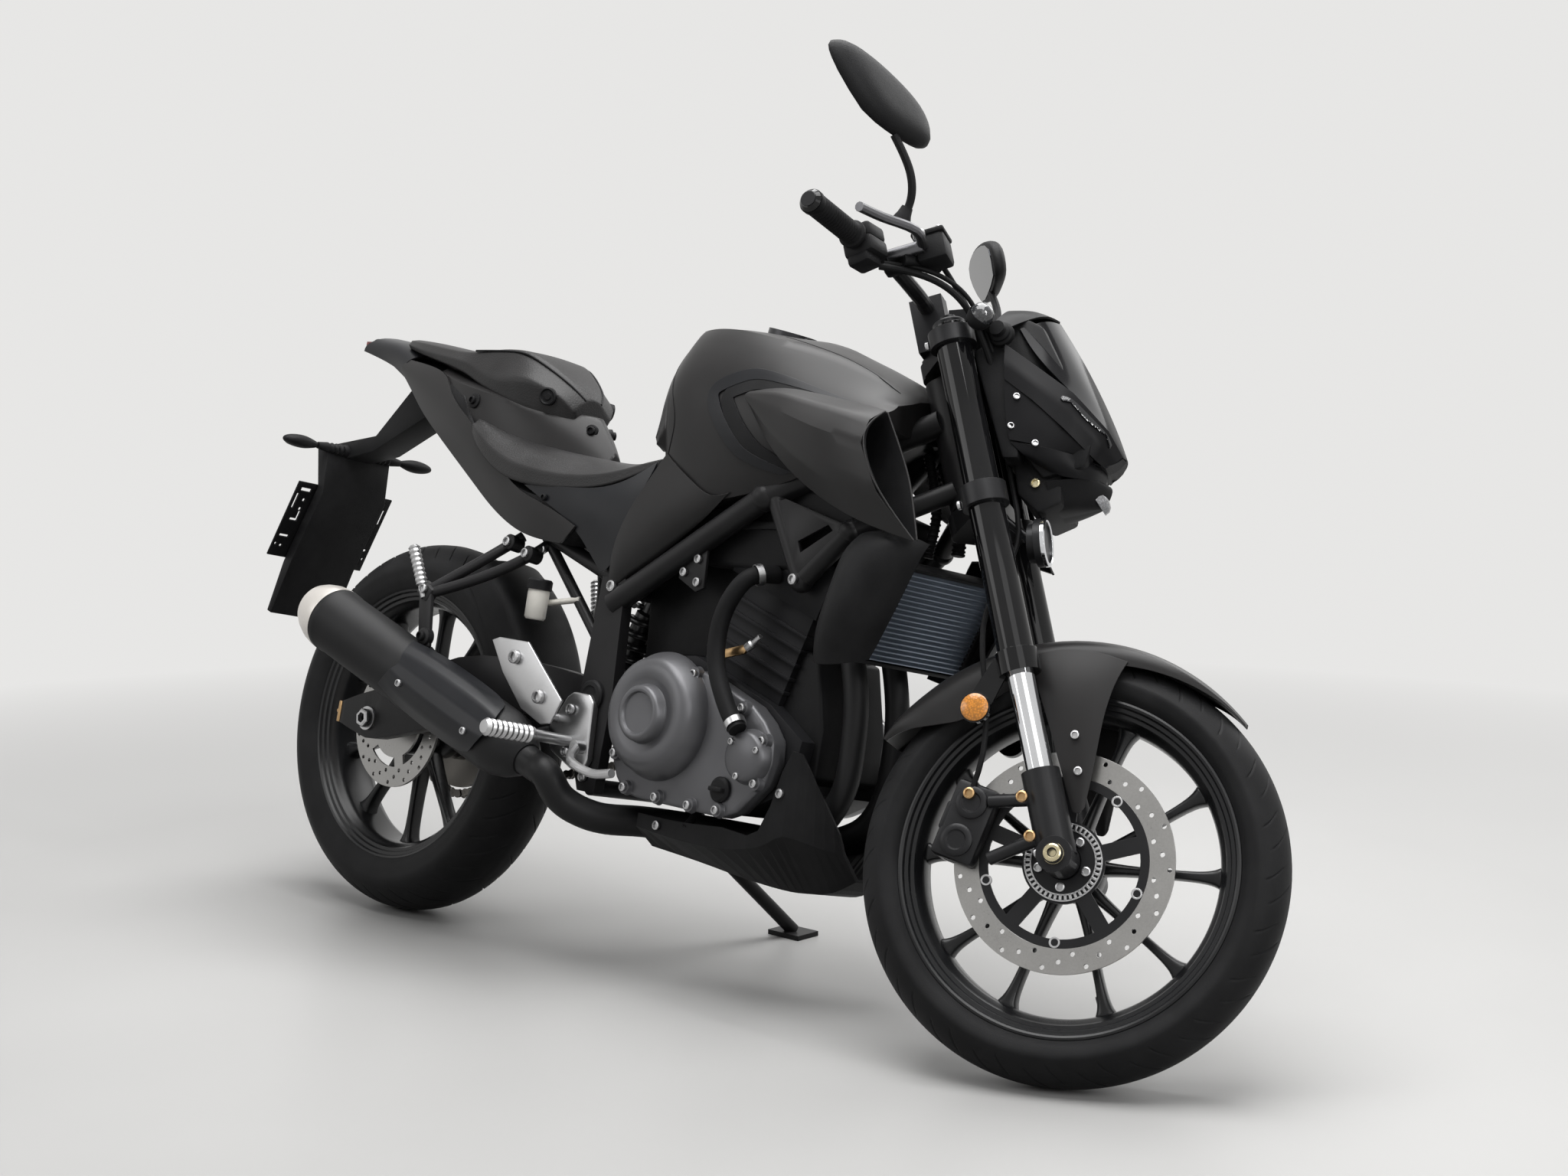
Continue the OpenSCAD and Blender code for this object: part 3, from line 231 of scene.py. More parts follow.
@dataclass(frozen=True)
class Paint:
    """A sprayed finish: fine orange peel, a dusting of lighter flecks and rounded edges."""

    name: str
    colour: Point
    roughness: float
    slot: str
    metallic: float = 0.0
    coat: float = 0.0
    peel: float = 0.00004
    edge: float = 0.0008
    shine: float = 0.42
    cloud_waves: float = 9.0
    fleck_waves: float = 2600.0
    peel_waves: float = 900.0

    def material(self) -> bpy.types.Material:
        """Builds the finish."""
        s = Shader(bpy.data.materials.new(self.name))
        broad = s.noise(self.cloud_waves, 3.0)
        fine = s.noise(self.fleck_waves, 1.0)
        light = tuple(min(1.0, c * 1.35 + 0.004) for c in self.colour)
        tint = s.mix(s.ramp(broad, 0.3, 0.75), self.colour, light)
        rough = (broad - 0.5) * 0.10 + (fine - 0.5) * 0.06 + self.roughness
        normal = s.bump(s.noise(self.peel_waves, 1.0), self.peel, s.edge(self.edge))
        return s.surface(
            Base_Color=tint, Roughness=rough.clamp(0.03, 1.0), Metallic=self.metallic,
            Coat_Weight=self.coat, Coat_Roughness=0.08, Specular_IOR_Level=self.shine, Normal=normal)


@dataclass(frozen=True)
class Moulding:
    """Moulded plastic or rubber with a pebbled grain."""

    name: str
    colour: Point
    roughness: float
    slot: str
    grain: float = 700.0
    depth: float = 0.00012
    edge: float = 0.0008
    shine: float = 0.32
    cloud_waves: float = 14.0

    def material(self) -> bpy.types.Material:
        """Builds the finish."""
        s = Shader(bpy.data.materials.new(self.name))
        cells = s.node("ShaderNodeTexVoronoi", {"feature": "SMOOTH_F1"},
                       {"Vector": s.coordinates(), "Scale": self.grain})
        broad = s.noise(self.cloud_waves, 3.0)
        light = tuple(min(1.0, c * 1.5 + 0.006) for c in self.colour)
        tint = s.mix(s.ramp(broad, 0.35, 0.8), self.colour, light)
        rough = (broad - 0.5) * 0.12 + (cells - 0.4) * 0.08 + self.roughness
        normal = s.bump(cells, self.depth, s.edge(self.edge))
        return s.surface(
            Base_Color=tint, Roughness=rough.clamp(0.1, 1.0), Specular_IOR_Level=self.shine, Normal=normal)


@dataclass(frozen=True)
class Metal:
    """Bare or coated metal, brushed along one axis of the object or cast."""

    name: str
    colour: Point
    roughness: float
    slot: str
    brush: Point = (1.0, 1.0, 1.0)
    grain: float = 400.0
    depth: float = 0.00003
    metallic: float = 1.0
    edge: float = 0.0006
    cloud_waves: float = 18.0

    def material(self) -> bpy.types.Material:
        """Builds the finish."""
        s = Shader(bpy.data.materials.new(self.name))
        lines = s.noise(self.grain, 3.0, s.coordinates(self.brush))
        broad = s.noise(self.cloud_waves, 3.0)
        dark = tuple(c * 0.72 for c in self.colour)
        tint = s.mix((lines * 0.6 + broad * 0.4).clamp(), dark, self.colour)
        rough = (lines - 0.5) * 0.16 + (broad - 0.5) * 0.12 + self.roughness
        normal = s.bump(lines, self.depth, s.edge(self.edge))
        return s.surface(
            Base_Color=tint, Roughness=rough.clamp(0.04, 1.0), Metallic=self.metallic, Normal=normal)


@dataclass(frozen=True)
class Lens:
    """A clear or tinted moulded lens with fine ribs behind it."""

    name: str
    colour: Point
    slot: str
    ribs: float = 350.0
    roughness: float = 0.08
    clear: float = 0.6
    coat: float = 0.6
    rib_depth: float = 0.0002

    def material(self) -> bpy.types.Material:
        """Builds the finish."""
        s = Shader(bpy.data.materials.new(self.name))
        ribs = s.node("ShaderNodeTexVoronoi", {}, {"Vector": s.coordinates(), "Scale": self.ribs})
        tint = s.mix(s.ramp(ribs, 0.1, 0.7), self.colour, tuple(c * 0.55 for c in self.colour))
        return s.surface(
            Base_Color=tint, Roughness=self.roughness, Transmission_Weight=self.clear,
            Coat_Weight=self.coat, Coat_Roughness=0.03, IOR=1.49, Normal=s.bump(ribs, self.rib_depth))


Finish = Union[Paint, Moulding, Metal, Lens]


@lru_cache(maxsize=None)
def coat(finish: Finish) -> bpy.types.Material:
    """A finish's material, built once and shared."""
    return finish.material()


SATIN = Paint("satin_black_paint", (0.0115, 0.0109, 0.011), 0.36, "satin_paint", shine=0.21)
SATIN_DARK = Paint("satin_trim_paint", (0.007, 0.0074, 0.009), 0.30, "satin_paint", shine=0.2)
FRAME_PAINT = Paint("frame_paint", (0.0105, 0.0102, 0.0108), 0.40, "frame_paint", shine=0.18)
GLOSS = Paint("gloss_black", (0.004, 0.004, 0.0045), 0.045, "fork_gloss", peel=0.000004, shine=0.3)
LAMP_GLOSS = Paint("lamp_front_gloss", (0.003, 0.003, 0.0036), 0.12, "fork_gloss", peel=0.00001, shine=0.06)
MASK_SATIN = Paint("mask_satin", (0.0072, 0.0071, 0.0078), 0.40, "satin_paint", shine=0.1)
WHEEL = Paint("wheel_paint", (0.007, 0.0072, 0.008), 0.28, "wheel_paint", shine=0.3)
ALLOY_BLACK = Paint("black_alloy", (0.012, 0.012, 0.013), 0.36, "black_alloy", metallic=0.2, shine=0.25)
ENGINE_GREY = Paint("engine_grey", (0.095, 0.095, 0.10), 0.38, "engine_case", metallic=0.45, shine=0.3)
ENGINE_BLACK = Paint("engine_black", (0.0095, 0.0095, 0.0105), 0.46, "engine_black", peel=0.0001, shine=0.12)
EXHAUST = Paint("exhaust_black", (0.0085, 0.0085, 0.009), 0.48, "exhaust_black", peel=0.0001, shine=0.2)
SPRING = Paint("spring_black", (0.009, 0.009, 0.0095), 0.30, "spring_black", coat=0.1)
PLASTIC = Moulding("black_plastic", (0.0075, 0.0075, 0.008), 0.52, "black_plastic", shine=0.12)
VINYL = Moulding("seat_vinyl", (0.0115, 0.011, 0.0112), 0.46, "seat_cover", grain=420.0, depth=0.0003,
                 shine=0.26)
RUBBER = Moulding("black_rubber", (0.007, 0.007, 0.0074), 0.58, "rubber", grain=900.0, shine=0.1)
TYRE = Moulding("tyre_rubber", (0.0095, 0.0095, 0.01), 0.56, "tyre_rubber", grain=650.0, depth=0.0001,
                shine=0.12)
DISC_STEEL = Metal("disc_steel", (0.36, 0.355, 0.345), 0.32, "disc_steel")
CHROME = Metal("hard_chrome", (0.80, 0.81, 0.83), 0.07, "chrome_tube", grain=900.0, depth=0.000004)
LEVER = Metal("lever_alloy", (0.15, 0.15, 0.158), 0.36, "bare_alloy")
# Mirror glass with its colour cut to 3 %: a painted dark reflection, where a silver mirror would reflect most
# light
MIRROR = Metal("mirror_silver", (0.03, 0.031, 0.034), 0.06, "chrome_tube", grain=900.0, depth=0.000004)
BRUSHED = Metal("brushed_end_cap", (0.86, 0.82, 0.77), 0.34, "brushed_metal", (1.0, 14.0, 14.0), metallic=0.7)
ALLOY = Metal("cast_alloy", (0.50, 0.50, 0.505), 0.34, "bare_alloy", depth=0.00008, grain=700.0)
CHAIN_STEEL = Metal("oiled_steel", (0.20, 0.19, 0.175), 0.36, "chain_steel")
FINS = Metal("radiator_fins", (0.26, 0.30, 0.36), 0.45, "radiator_core")
CAP_ALLOY = Paint("cap_alloy", (0.03, 0.03, 0.032), 0.32, "cap_alloy", metallic=0.6)
CLEAR = Lens("clear_lens", (0.86, 0.87, 0.9), "lamp_clear")
GREY_LENS = Lens("grey_lens", (0.07, 0.072, 0.077), "lamp_clear", clear=0.2)
SMOKED = Lens("smoked_lens", (0.012, 0.013, 0.016), "lamp_clear", clear=0.0)
RED = Lens("red_lens", (0.30, 0.012, 0.012), "lamp_red", clear=0.2)
AMBER = Lens("amber_lens", (0.9, 0.33, 0.02), "lamp_red", roughness=0.2, clear=0.1)
RED_PLASTIC = Moulding("red_plastic", (0.45, 0.012, 0.012), 0.35, "lamp_red", depth=0.00003)
BRASS = Metal("dull_brass", (0.46, 0.30, 0.15), 0.32, "bare_alloy")
ZINC = Metal("yellow_zinc", (0.62, 0.55, 0.36), 0.26, "bare_alloy")
WHITE_POT = Moulding("white_pot", (0.62, 0.60, 0.55), 0.42, "reservoir_white", depth=0.00004)

# The frame's nodes, listed under their finish
FINISH_NODES: dict[Finish, Sequence[str]] = {
    TYRE: ("front_tyre", "rear_tyre"),
    WHEEL: ("front_rim", "rear_rim"),
    DISC_STEEL: ("front_disc", "rear_disc"),
    ALLOY_BLACK: ("front_disc_carrier", "yokes", "fork_lowers", "front_axle", "front_caliper",
                  "handlebar", "rear_axle", "rear_caliper"),
    CHAIN_STEEL: ("rear_sprocket", "chain"),
    GLOSS: ("fork_outer_tubes",),
    CHROME: ("fork_inner_tubes",),
    SATIN: ("front_fender", "headlamp_mask", "fuel_tank", "tank_scoops", "tail_cowl"),
    RUBBER: ("grips", "front_brake_hose", "coolant_hose"),
    PLASTIC: ("switchgear", "brake_reservoir", "mirrors", "instrument", "front_signals",
              "radiator_shrouds", "side_covers", "plate_bracket", "rear_signals", "belly_pan"),
    LEVER: ("levers",),
    CLEAR: ("headlamp_lens",),
    FRAME_PAINT: ("main_frame", "subframe", "swingarm", "pillion_brackets", "side_stand"),
    ENGINE_BLACK: ("crankcase", "cylinder_head"),
    ENGINE_GREY: ("clutch_cover", "alternator_cover"),
    FINS: ("radiator",),
    EXHAUST: ("exhaust_header", "muffler"),
    BRUSHED: ("muffler_cap",),
    CAP_ALLOY: ("fuel_cap",),
    VINYL: ("rider_seat", "pillion_seat"),
    RED: ("tail_lamp",),
    SPRING: ("rear_shock",),
    ALLOY: ("footrest_hangers", "footrests", "foot_levers"),
    WHITE_POT: ("rear_reservoir",),
}


@dataclass
class Stance:
    """Where the upright bike and its fork lie in the frame, from the frame's own joints."""

    joints: list[dict]
    rake_deg: float = 25.0
    rear_radius_mm: float = 314.0
    bike: Matrix = field(init=False)
    fork: Matrix = field(init=False)

    def __post_init__(self) -> None:
        """Works out both spaces, in millimetres."""
        by_name = {joint["name"]: joint for joint in self.joints}
        rear, steer, front = (by_name[n] for n in ("rear_wheel_spin", "steering", "front_wheel_spin"))
        left = Vector(rear["axis"]).normalized()
        stem = Vector(steer["axis"]).normalized()
        rake = math.radians(self.rake_deg)
        across = left.cross(stem).normalized()
        ahead = across * math.cos(rake) - stem * math.sin(rake)
        up = across * math.sin(rake) + stem * math.cos(rake)
        ground = Vector(rear["pos_m"]) - up * self.rear_radius_mm / 1000.0
        self.bike = self.space(ground, ahead, left, up)
        turned = Vector(front["axis"]).normalized()
        self.fork = self.space(Vector(front["pos_m"]), turned.cross(stem), turned, stem)

    @staticmethod
    def space(origin: Vector, x: Vector, y: Vector, z: Vector) -> Matrix:
        """A matrix from millimetres along three directions to the frame's metres."""
        turn = Matrix((x, y, z)).transposed().to_4x4()
        return Matrix.Translation(origin) @ turn @ Matrix.Scale(0.001, 4)


def eased(rows: Sequence[Sequence[float]], steps: int) -> list[list[float]]:
    """Rows of numbers with curved steps between them.

    Args:
        rows: Rows of equal length.
        steps: How many steps lie between two rows.

    Returns:
        The rows with the steps added.
    """
    last = len(rows) - 1
    fine = []
    for i in range(last):
        a, b, c, d = (rows[min(max(i + k, 0), last)] for k in (-1, 0, 1, 2))
        for k in range(steps):
            t = k / steps
            fine.append([0.5 * (2 * q + (r - p) * t + (2 * p - 5 * q + 4 * r - s) * t * t
                                + (3 * q - p - 3 * r + s) * t ** 3) for p, q, r, s in zip(a, b, c, d)])
    return fine + [list(rows[last])]


def rings_of(rows: Rings) -> list[list[Point]]:
    """Closed rings across the bike, each from its place along and its left half, top to bottom."""
    return [[(x, y, z) for y, z in half] + [(x, -y, z) for y, z in reversed(half) if y > 0.5]
            for x, half in rows]


def arch(angle_deg: float, half: Sequence[Flat], axle_z: float = 0.0) -> list[Point]:
    """A strip over a wheel, at an angle round its axle.

    Args:
        angle_deg: The angle, up from straight ahead.
        half: Half of the strip from its edge to its middle: across, radius.
        axle_z: The axle's height.

    Returns:
        The points of the whole strip.
    """
    ahead, up = math.cos(math.radians(angle_deg)), math.sin(math.radians(angle_deg))
    whole = [*half, *((-y, r) for y, r in reversed(half[:-1]))]
    return [(ahead * r, y, axle_z + up * r) for y, r in whole]


def around(count: int, start: float = 0.0) -> list[Matrix]:
    """Turns about the axle that share a full circle, from a start counted in steps."""
    return [Matrix.Rotation(2 * math.pi * (k + start) / count, 4, "Y") for k in range(count)]


def both_sides(rows: Sequence[Sequence[float]], way: Point = LEFT) -> list[Bolt]:
    """Bolts on both sides, from rows of the left-hand ones: along, across, up, head radius."""
    return [((x, side * y, z), (way[0], side * way[1], way[2]), size)
            for side in SIDES for x, y, z, size in rows]


class Bench:
    """Models pieces with operators, in the millimetres of one space, and sets them into the frame."""

    merge_mm = 0.001
    bevel_deg = 32.0

    def __init__(self, space: Matrix, body: Body) -> None:
        """Works in a space, for pieces that move with a body."""
        self.space = space
        self.body = body

    @staticmethod
    def pick(*objects: Piece) -> None:
        """Selects these objects alone, the last one active."""
        bpy.ops.object.select_all(action="DESELECT")
        for one in objects:
            one.select_set(True)
        bpy.context.view_layer.objects.active = objects[-1]

    def edit(self, piece: Piece, *steps: Callable[[], object]) -> Piece:
        """Runs operator steps in edit mode with all of a piece selected.

        Args:
            piece: The object to shape.
            steps: Calls of mesh operators, in order.

        Returns:
            The same object.
        """
        self.pick(piece)
        bpy.ops.object.mode_set(mode="EDIT")
        bpy.ops.mesh.select_all(action="SELECT")
        for step in steps:
            step()
        bpy.ops.object.mode_set(mode="OBJECT")
        return piece

    def apply(self, piece: Piece, kind: str, **settings: object) -> Piece:
        """Adds a modifier with its settings and applies it."""
        self.pick(piece)
        modifier = piece.modifiers.new(kind.lower(), kind)
        for key, value in settings.items():
            setattr(modifier, key, value)
        bpy.ops.object.modifier_apply(modifier=modifier.name)
        return piece

    @classmethod
    def outward(cls) -> None:
        """Merges doubles and turns all faces outwards."""
        bpy.ops.mesh.select_all(action="SELECT")
        bpy.ops.mesh.remove_doubles(threshold=cls.merge_mm)
        bpy.ops.mesh.normals_make_consistent(inside=False)

    @staticmethod
    def lines(name: str, points: Sequence[Point], face: bool = False) -> Piece:
        """A polyline, or one flat face, to spin or extrude."""
        count = len(points)
        data = bpy.data.meshes.new(name)
        edges = [] if face else [(i, i + 1) for i in range(count - 1)]
        data.from_pydata(list(points), edges, [tuple(range(count))] if face else [])
        piece = bpy.data.objects.new(name, data)
        bpy.context.scene.collection.objects.link(piece)
        return piece

    def sheet(self, name: str, grid: Grid) -> Piece:
        """A grid primitive whose points are moved to given places.

        Args:
            name: The piece's name.
            grid: Rows of points.

        Returns:
            The open sheet.
        """
        rows, cols = len(grid), len(grid[0])
        bpy.ops.mesh.primitive_grid_add(x_subdivisions=cols - 1, y_subdivisions=rows - 1, size=2.0)
        piece = bpy.context.object
        piece.name = name
        for vert in piece.data.vertices:
            col = round((vert.co.x + 1.0) / 2.0 * (cols - 1))
            row = round((vert.co.y + 1.0) / 2.0 * (rows - 1))
            vert.co = grid[row][col]
        return piece

    def smooth(self, piece: Piece, levels: int = 2, crease_deg: float = 0.0,
               crease: float = 0.85) -> Piece:
        """Subdivides a piece, holding the edges that are sharper than an angle."""
        if crease_deg:
            self.edit(piece, lambda: bpy.ops.mesh.select_all(action="DESELECT"),
                      lambda: bpy.ops.mesh.select_mode(type="EDGE"),
                      lambda: bpy.ops.mesh.edges_select_sharp(sharpness=math.radians(crease_deg)),
                      lambda: bpy.ops.transform.edge_crease(value=crease),
                      lambda: bpy.ops.mesh.select_mode(type="VERT"))
        return self.apply(
            piece, "SUBSURF", levels=levels, render_levels=levels, boundary_smooth="PRESERVE_CORNERS")

    def bevel(self, piece: Piece, width: float, segments: int = 2) -> Piece:
        """Rounds a piece's sharp edges by a width."""
        return self.apply(
            piece, "BEVEL", width=width, segments=segments, limit_method="ANGLE",
            angle_limit=math.radians(self.bevel_deg))

    def panel(self, name: str, grid: Grid, thick: float = 3.0, levels: int = 2,
              pair: bool = True, crease_deg: float = 0.0) -> Piece:
        """A curved panel through rows of points on the left side, with its mirrored pair.

        Args:
            name: The piece's name.
            grid: Rows of points.
            thick: The panel's wall.
            levels: How often it is subdivided.
            pair: Whether the right-hand one is added.
            crease_deg: Edges sharper than this stay crisp.

        Returns:
            The closed panel.
        """
        piece = self.smooth(self.sheet(name, grid), levels, crease_deg)
        self.edit(piece, self.outward)
        self.apply(piece, "SOLIDIFY", thickness=thick, offset=0.0)
        return self.edit(self.pair(piece) if pair else piece, self.outward)

    def loft(self, name: str, rings: Grid, levels: int = 2,
             crease_deg: float = 0.0, crease: float = 0.7) -> Piece:
        """A closed body through rings of equal point counts, with filled ends."""
        piece = self.sheet(name, [[*ring, ring[0]] for ring in rings])
        self.edit(piece, lambda: bpy.ops.mesh.remove_doubles(threshold=self.merge_mm),
                  lambda: bpy.ops.mesh.select_all(action="SELECT"),
                  lambda: bpy.ops.mesh.fill_holes(sides=0), self.outward)
        return self.smooth(piece, levels, crease_deg, crease) if levels else piece

    def lathe(self, name: str, profile: Sequence[Flat], steps: int = 96,
              centre: Point = (0.0, 0.0, 0.0), axis: Point = LEFT) -> Piece:
        """Spins a profile of (radius, along) about an axis through a centre."""
        line = Vector(axis).normalized()
        side = line.orthogonal().normalized()
        middle = Vector(centre)
        piece = self.lines(name, [tuple(middle + side * r + line * y) for r, y in profile])
        return self.edit(
            piece, lambda: bpy.ops.mesh.spin(steps=steps, angle=2.0 * math.pi, center=middle, axis=line),
            self.outward)

    def plate(self, name: str, outline: Sequence[Flat], y0: float, y1: float, bevel: float = 1.5,
              segments: int = 2) -> Piece:
        """A flat plate: an outline in the side view, extruded across the bike and rounded."""
        piece = self.lines(name, [(x, y0, z) for x, z in outline], face=True)
        across = {"value": (0.0, y1 - y0, 0.0)}
        self.edit(piece, lambda: bpy.ops.mesh.extrude_region_move(TRANSFORM_OT_translate=across),
                  self.outward)
        return self.bevel(piece, bevel, segments) if bevel else piece

    def block(self, name: str, middle: Point, size: Point, bevel: float = 2.0,
              turn: Optional[Matrix] = None) -> Piece:
        """A box with rounded edges, turned about its middle."""
        bpy.ops.mesh.primitive_cube_add(size=1.0)
        piece = bpy.context.object
        piece.name = name
        place = Matrix.Translation(middle) @ (turn or Matrix.Identity(4)) @ Matrix.Diagonal((*size, 1.0))
        piece.data.transform(place)
        return self.bevel(piece, bevel)

    def tube(self, name: str, path: Sequence[Point], radius: float, sides: int = 3,
             soft: bool = True) -> Piece:
        """A round tube along points, made a mesh with closed ends."""
        data = bpy.data.curves.new(name, "CURVE")
        data.dimensions = "3D"
        data.bevel_depth = radius
        data.bevel_resolution = sides
        data.use_fill_caps = True
        data.resolution_u = 6
        line = data.splines.new("NURBS" if soft else "POLY")
        line.points.add(len(path) - 1)
        for knot, place in zip(line.points, path):
            knot.co = (*place, 1.0)
        if soft:
            line.order_u = min(3, len(path))
            line.use_endpoint_u = True
        piece = bpy.data.objects.new(name, data)
        bpy.context.scene.collection.objects.link(piece)
        self.pick(piece)
        bpy.ops.object.convert(target="MESH")
        return self.edit(bpy.context.object, self.outward)

    def ribbed(self, name: str, path: Sequence[Point], radius: float, gap: float = 7.0) -> Piece:
        """A hose with raised rings, set a gap apart along its path."""
        first = (Vector(path[1]) - Vector(path[0])).length
        spots = [Vector(row) for row in eased(path, max(2, round(first / gap)))]
        foot, crest = radius - 1.0, radius + 1.4
        ring = self.lathe("ring", [(foot, -1.6), (crest, -1.2), (crest, 1.2), (foot, 1.6)], 24, axis=UP)
        places = [Matrix.Translation((here + there) / 2.0) @ self.aimed(there - here)
                  for here, there in zip(spots, spots[1:])]
        return self.join(
            name, self.copies("rings", ring, places), self.tube("core", spots, radius, soft=False))

    @staticmethod
    def aimed(way: Sequence[float]) -> Matrix:
        """The turn that brings up to a direction."""
        return Vector(UP).rotation_difference(Vector(way)).to_matrix().to_4x4()

    def pair(self, piece: Piece) -> Piece:
        """Adds a piece's mirror image on the other side of the bike."""
        return self.apply(piece, "MIRROR", use_axis=(False, True, False), use_mirror_merge=False)

    def join(self, name: str, *parts: Piece) -> Piece:
        """Makes one object of several."""
        self.pick(*parts)
        if len(parts) > 1:
            bpy.ops.object.join()
        bpy.context.object.name = name
        return bpy.context.object

    def cut(self, piece: Piece, cutter: Piece) -> Piece:
        """Takes a cutter's shape out of a piece."""
        self.apply(piece, "BOOLEAN", object=cutter, operation="DIFFERENCE", solver="EXACT")
        bpy.data.objects.remove(cutter)
        return piece

    def copies(self, name: str, one: Piece, places: Iterable[Matrix]) -> Piece:
        """Copies a modelled piece to places, each with its own mesh, and joins the copies."""
        parts = []
        for place in places:
            twin = bpy.data.objects.new(name, one.data.copy())
            twin.data.transform(place)
            bpy.context.scene.collection.objects.link(twin)
            parts.append(twin)
        bpy.data.objects.remove(one)
        return self.join(name, *parts)

    def bolts(self, name: str, places: Sequence[Bolt]) -> Piece:
        """Socket-headed bolts, modelled once for a head radius of 1.

        Args:
            name: The piece's name.
            places: Each bolt's foot, direction and head radius.

        Returns:
            All the bolts as one object.
        """
        bpy.ops.mesh.primitive_cylinder_add(vertices=20, radius=1.0, depth=0.8, location=(0, 0, 0.4))
        head = bpy.context.object
        bpy.ops.object.transform_apply(location=True)
        head = self.bevel(head, 0.14, 2)

        def crown() -> None:
            """Sinks the socket into the head's top."""
            bpy.ops.mesh.select_all(action="DESELECT")
            bpy.ops.object.mode_set(mode="OBJECT")
            for face in head.data.polygons:
                face.select = face.normal.z > 0.9 and face.center.length > 0.7
            bpy.ops.object.mode_set(mode="EDIT")
            bpy.ops.mesh.inset(thickness=0.32)
            bpy.ops.mesh.extrude_region_move(TRANSFORM_OT_translate={"value": (0.0, 0.0, -0.4)})

        self.edit(head, lambda: bpy.ops.mesh.select_mode(type="FACE"), crown,
                  lambda: bpy.ops.mesh.select_mode(type="VERT"))
        return self.copies(name, head, [Matrix.Translation(foot) @ self.aimed(way) @ Matrix.Scale(size, 4)
                                        for foot, way, size in places])

    def done(self, piece: Piece, finish: Finish, replaces: Sequence[str] = (),
             edge: Edge = Edge.HARD) -> Piece:
        """Sets a piece into the frame, shades it, attaches it to its body, hides the nodes it replaces and
        logs it.

        Args:
            piece: The modelled object.
            finish: Its finish.
            replaces: The nodes that it stands for.
            edge: How sharp an edge has to be to show.

        Returns:
            The same object.
        """
        piece.data.transform(self.space)
        self.pick(piece)
        bpy.ops.object.shade_smooth_by_angle(angle=math.radians(edge.value))
        piece.data.materials.clear()
        piece.data.materials.append(coat(finish))
        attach(piece, self.body.value)
        if replaces:
            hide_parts(*replaces)
        LOG.info("%s: %d faces on %s", piece.name, len(piece.data.polygons), self.body.value)
        return piece

    def laid(self, name: str, skin: Piece, path: Strip, lift: float = 1.6,
             thick: float = 2.0) -> Piece:
        """A strip laid on the left half of a skin and mirrored to the right.

        Args:
            name: The strip's name.
            skin: The skin, still in millimetres.
            path: Points near the skin, each with half the strip's width.
            lift: How far the strip stands off the skin.
            thick: The strip's thickness.

        Returns:
            The pair of strips.
        """
        spots = [Vector(p) for p, _ in path]
        rows = []
        for i, (spot, (_, half)) in enumerate(zip(spots, path)):
            along = spots[min(i + 1, len(spots) - 1)] - spots[max(i - 1, 0)]
            side = Vector((-along.z, 0.0, along.x)).normalized() * half
            rows.append([tuple(spot + side), tuple(spot), tuple(spot - side)])
        strip = self.smooth(self.sheet(name, rows), 3)
        self.apply(strip, "SHRINKWRAP", target=skin, offset=lift, wrap_mode="OUTSIDE_SURFACE")
        self.apply(strip, "SOLIDIFY", thickness=thick, offset=0.0)
        return self.edit(self.pair(strip), self.outward)

    def node_copy(self, node: str) -> Piece:
        """A copy of a node's mesh, brought into this bench's millimetres."""
        piece = bpy.data.objects.new(node, bpy.data.objects[node].data.copy())
        bpy.context.scene.collection.objects.link(piece)
        piece.data.transform(self.space.inverted())
        return self.edit(piece, lambda: bpy.ops.mesh.customdata_custom_splitnormals_clear(), self.outward)

    def refined(self, node: str, finish: Finish, levels: int = 1, crease_deg: float = 50.0) -> Piece:
        """A node's shape with its flats rejoined and its curves subdivided, in the node's place."""
        piece = self.node_copy(node)
        piece.name = f"{node}_skin"
        self.edit(piece, lambda: bpy.ops.mesh.tris_convert_to_quads(face_threshold=0.7, shape_threshold=0.9))
        return self.done(self.smooth(piece, levels, crease_deg, 1.0), finish, [node])


# Half a tyre's section, bead to crown: radius, distance from its middle plane
FRONT_SECTION = ((231, 42), (240, 50), (249, 54), (256, 55), (262, 52.3), (273, 44), (283.2, 31),
                 (289.5, 16), (291.6, 0))
REAR_SECTION = ((231, 60), (243, 66), (256, 69), (266, 70), (277.5, 66.3), (291.4, 55), (303.3, 39),
                (311, 20), (313.5, 0))


